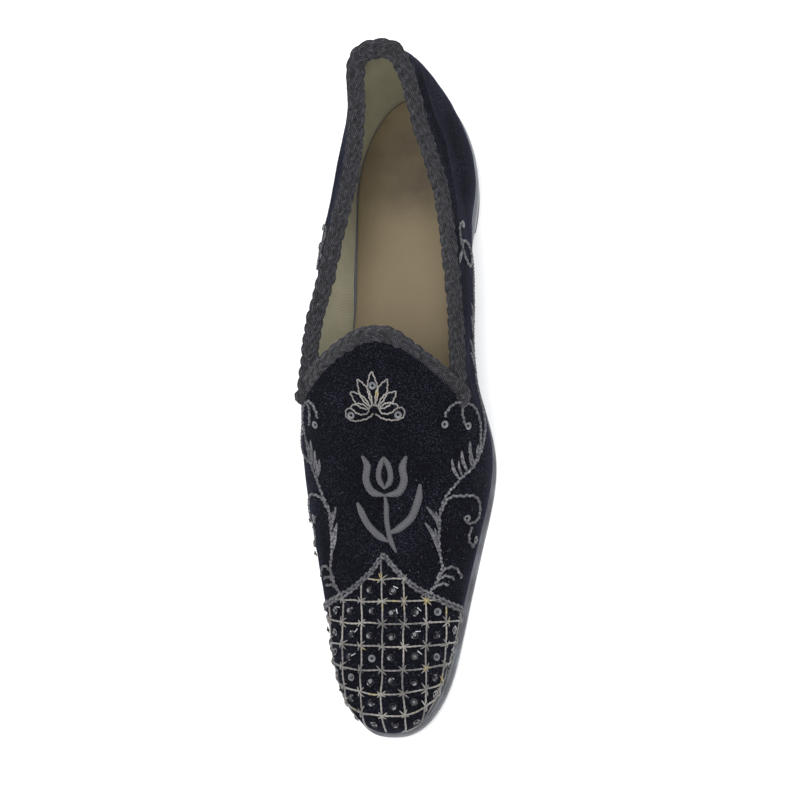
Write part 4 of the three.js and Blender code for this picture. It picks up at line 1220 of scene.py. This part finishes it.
# Collar and vamp braids
# A flat plait of three strands, each a bundle of dull black silk cords laid
# side by side, sewn over the raw edge of the collar and of the vamp tab, so
# that the edges are bound. Its strands show as slanting lumps on both sides.
PLAIT_PERIOD = 15
PLAIT_SWING = 1.7
PLAIT_DEPTH = 0.7
STRAND_HALF_WIDTH = 2.1
STRAND_HALF_HEIGHT = 1.3
STRAND_CORDS = 17
CORD_SAMPLES = 3
CORD_SLANT = 0.1
CORD_RIDGE = 0.09
# How soon the plait and its strands are whole from their tips, in mm.
PLAIT_TIP = 6
STRAND_TIP = 4
# A hand plaits unevenly: in turn (radians), in swing (share) and in height (mm).
UNEVEN_TURN = 0.5
UNEVEN_SWING = 0.2
UNEVEN_RISE = 0.25
PLAIT_STEP = 0.8
HEEL_LUMP = 0.18
HEEL_LUMP_REACH = 17
COLLAR_BITE = 1.6
TAB_BITE = 0.4
COLLAR_LEAN = math.radians(20)
TAB_LEAN = math.radians(-6)
BRAID_SLICE = math.radians(1.5)
BRAID_LEAST_WIDTH = 5
BRAID_BLACK = "#08080b"
BRAID_TOP_HIGHLIGHT = "#3b3b43"


def braid_line(node_name, centre, tail, bite):
    """The middle line of a CAD braid's sections at each angle round a centre, in mm, sunk on the rim."""
    cuts = {}
    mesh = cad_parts[node_name].data
    corners = []
    for vertex in mesh.vertices:
        x, y, z = vertex.co / MM
        corners.append((math.atan2(x - centre[0], y - centre[1]),
                        math.hypot(x - centre[0], y - centre[1]), z))
    for edge in mesh.edges:
        (a, near, low), (b, far, high) = sorted(corners[v] for v in edge.vertices)
        if b - a > math.pi:
            continue
        for index in range(math.ceil(a / BRAID_SLICE), math.floor(b / BRAID_SLICE) + 1):
            share = (index * BRAID_SLICE - a) / max(b - a, 1e-9)
            cuts.setdefault(index, []).append((near + (far - near) * share, low + (high - low) * share))
    line = []
    for index in sorted(cuts):
        reach, height = zip(*cuts[index])
        if max(reach) - min(reach) > BRAID_LEAST_WIDTH:
            middle = (min(reach) + max(reach)) / 2
            line.append(Vector((centre[0] + middle * math.sin(index * BRAID_SLICE),
                                centre[1] + middle * math.cos(index * BRAID_SLICE),
                                (min(height) + max(height)) / 2 - bite)))
    for _ in range(2):
        inner = [(before + 2 * here + after) / 4 for before, here, after in zip(line, line[1:], line[2:])]
        line = [line[0]] + inner + [line[-1]]
    first, last = (line[0] - line[2]).normalized(), (line[-1] - line[-3]).normalized()
    return [line[0] + first * tail] + line + [line[-1] + last * tail]


def turned_in(end, other_end, past):
    """Stations that take one end of a braid round and tuck it into another braid's end."""
    out, other_out = (end[0] - end[1]).normalized(), (other_end[0] - other_end[1]).normalized()
    bend = (end[0] + other_end[0]) / 2 + (out + other_out).normalized() * past
    return [bend, other_end[0] - other_out * 2]


def even_line(line, step):
    """The same line with even steps."""
    dense = smooth_line(line, step / 4)
    lengths = [0.0]
    for a, b in zip(dense, dense[1:]):
        lengths.append(lengths[-1] + (b - a).length)
    count = round(lengths[-1] / step)
    even, at = [], 0
    for k in range(count + 1):
        want = lengths[-1] * k / count
        while at < len(dense) - 2 and lengths[at + 1] < want:
            at += 1
        share = (want - lengths[at]) / max(lengths[at + 1] - lengths[at], 1e-9)
        even.append(dense[at].lerp(dense[at + 1], min(max(share, 0), 1)))
    return even


def plait(stitches, line, lump_at=None, lean=0.0):
    """Plaits three strands along a line, thicker where its ends are sewn together."""
    spine = even_line(line, PLAIT_STEP)
    last = len(spine) - 1
    frames = []
    for k, point in enumerate(spine):
        along = (spine[min(k + 2, last)] - spine[max(k - 2, 0)]).normalized()
        across = Matrix.Rotation(lean, 3, along) @ along.cross(Vector((0, 0, 1))).normalized()
        lump = 1.0
        if lump_at is not None:
            lump += HEEL_LUMP * math.exp(-((k / last - lump_at) * last * PLAIT_STEP / HEEL_LUMP_REACH) ** 2)
        frames.append((point, across, across.cross(along), lump))
    for strand in range(3):
        path = []
        for k, (point, across, up, lump) in enumerate(frames):
            run = k * PLAIT_STEP
            end = min(run, (last - k) * PLAIT_STEP)
            close = min(1, 0.1 + end / PLAIT_TIP)
            turn = 2 * math.pi * (run / PLAIT_PERIOD + strand / 3) + UNEVEN_TURN * noise.noise(point / 14)
            swing = (PLAIT_SWING * close * lump
                     * (1 + UNEVEN_SWING * noise.noise(point / 8 + Vector((strand, 0, 0)))))
            rise = PLAIT_DEPTH * lump * math.sin(2 * turn) + UNEVEN_RISE * noise.noise(point / 6)
            path.append((point + across * swing * math.sin(turn) + up * rise, up))

        def bundle(share, run):
            end = min(share, 1 - share) * last * PLAIT_STEP
            close = min(1, 0.2 + end / STRAND_TIP) * frames[min(round(share * last), last)][3] ** 0.6
            ring = []
            for j in range(STRAND_CORDS * CORD_SAMPLES):
                angle = 2 * math.pi * j / (STRAND_CORDS * CORD_SAMPLES)
                ridge = close * (1 + CORD_RIDGE * math.cos(
                    STRAND_CORDS * angle + 2 * math.pi * CORD_SLANT * run))
                ring.append((STRAND_HALF_WIDTH * ridge * math.cos(angle),
                             STRAND_HALF_HEIGHT * ridge * math.sin(angle)))
            return ring
        sweep(stitches, path, bundle)


# Dull silk cord: the cords of a strand lie side by side about 0.6 mm apart,
# painted grey along their tops as a painted highlight and nearly black in the
# hollows between them as painted shade.
silk_cord, tree = new_material("dull_black_silk_cord")
lay_map = add_node(tree, "UVMap", uv_map="lay")
round_along = add_node(tree, "SeparateXYZ", {0: lay_map})
slant = add_node(tree, "Math", {0: round_along.outputs["Y"], 1: CORD_SLANT}, operation="MULTIPLY")
beside = add_node(tree, "Math", {
    0: round_along.outputs["X"], 1: STRAND_CORDS, 2: slant}, operation="MULTIPLY_ADD")
hollow = add_node(tree, "Math", {0: beside, 1: 0.5}, operation="PINGPONG")
high_share = add_node(tree, "MapRange", {"Value": hollow, 1: 0.42, 2: 0.08, 3: 0, 4: 1})
place = add_node(tree, "TexCoord").outputs["Object"]
shade = add_node(tree, "TexNoise", {"Vector": place, "Scale": 520, "Detail": 5, "Roughness": 0.65})
shade_share = add_node(tree, "MapRange", {"Value": shade, 1: 0.38, 2: 0.66, 3: 0, 4: 1})
# Painted light: the tops are painted grey as a highlight, broken by noise, and the hollows near black as
# shade.
lit = add_node(tree, "Math", {0: shade_share, 1: high_share}, operation="MULTIPLY")
cord_colour = add_node(tree, "Mix", {
    0: lit, 6: linear(BRAID_BLACK), 7: linear(BRAID_TOP_HIGHLIGHT)}, data_type="RGBA")
yarn = add_node(tree, "Bump", {"Height": high_share, "Strength": 0.7, "Distance": 0.0003})
finish_material(tree, {
    "Base Color": cord_colour.outputs[2], "Roughness": 0.7, "Specular IOR Level": 0.25,
    "Sheen Weight": 0.2, "Sheen Roughness": 0.4, "Normal": yarn})

collar = new_stitches()
collar_line = [trodden(point) for point in braid_line("collar_braid", (0, 50), 1.0, COLLAR_BITE)]
plait(collar, collar_line, lump_at=0.5, lean=COLLAR_LEAN)
collar_braid = stitched_piece("collar_plait", collar, silk_cord)
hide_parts("collar_braid")
tab = new_stitches()
tab_line = braid_line("vamp_braid", (0, -20), 0.0, TAB_BITE)
outer_turn = turned_in((tab_line[0], tab_line[1]), (collar_line[0], collar_line[1]), 1.0)
inner_turn = turned_in((tab_line[-1], tab_line[-2]), (collar_line[-1], collar_line[-2]), 2.4)
plait(tab, outer_turn[::-1] + tab_line + inner_turn, lean=TAB_LEAN)
vamp_braid = stitched_piece("vamp_plait", tab, silk_cord)
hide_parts("vamp_braid")
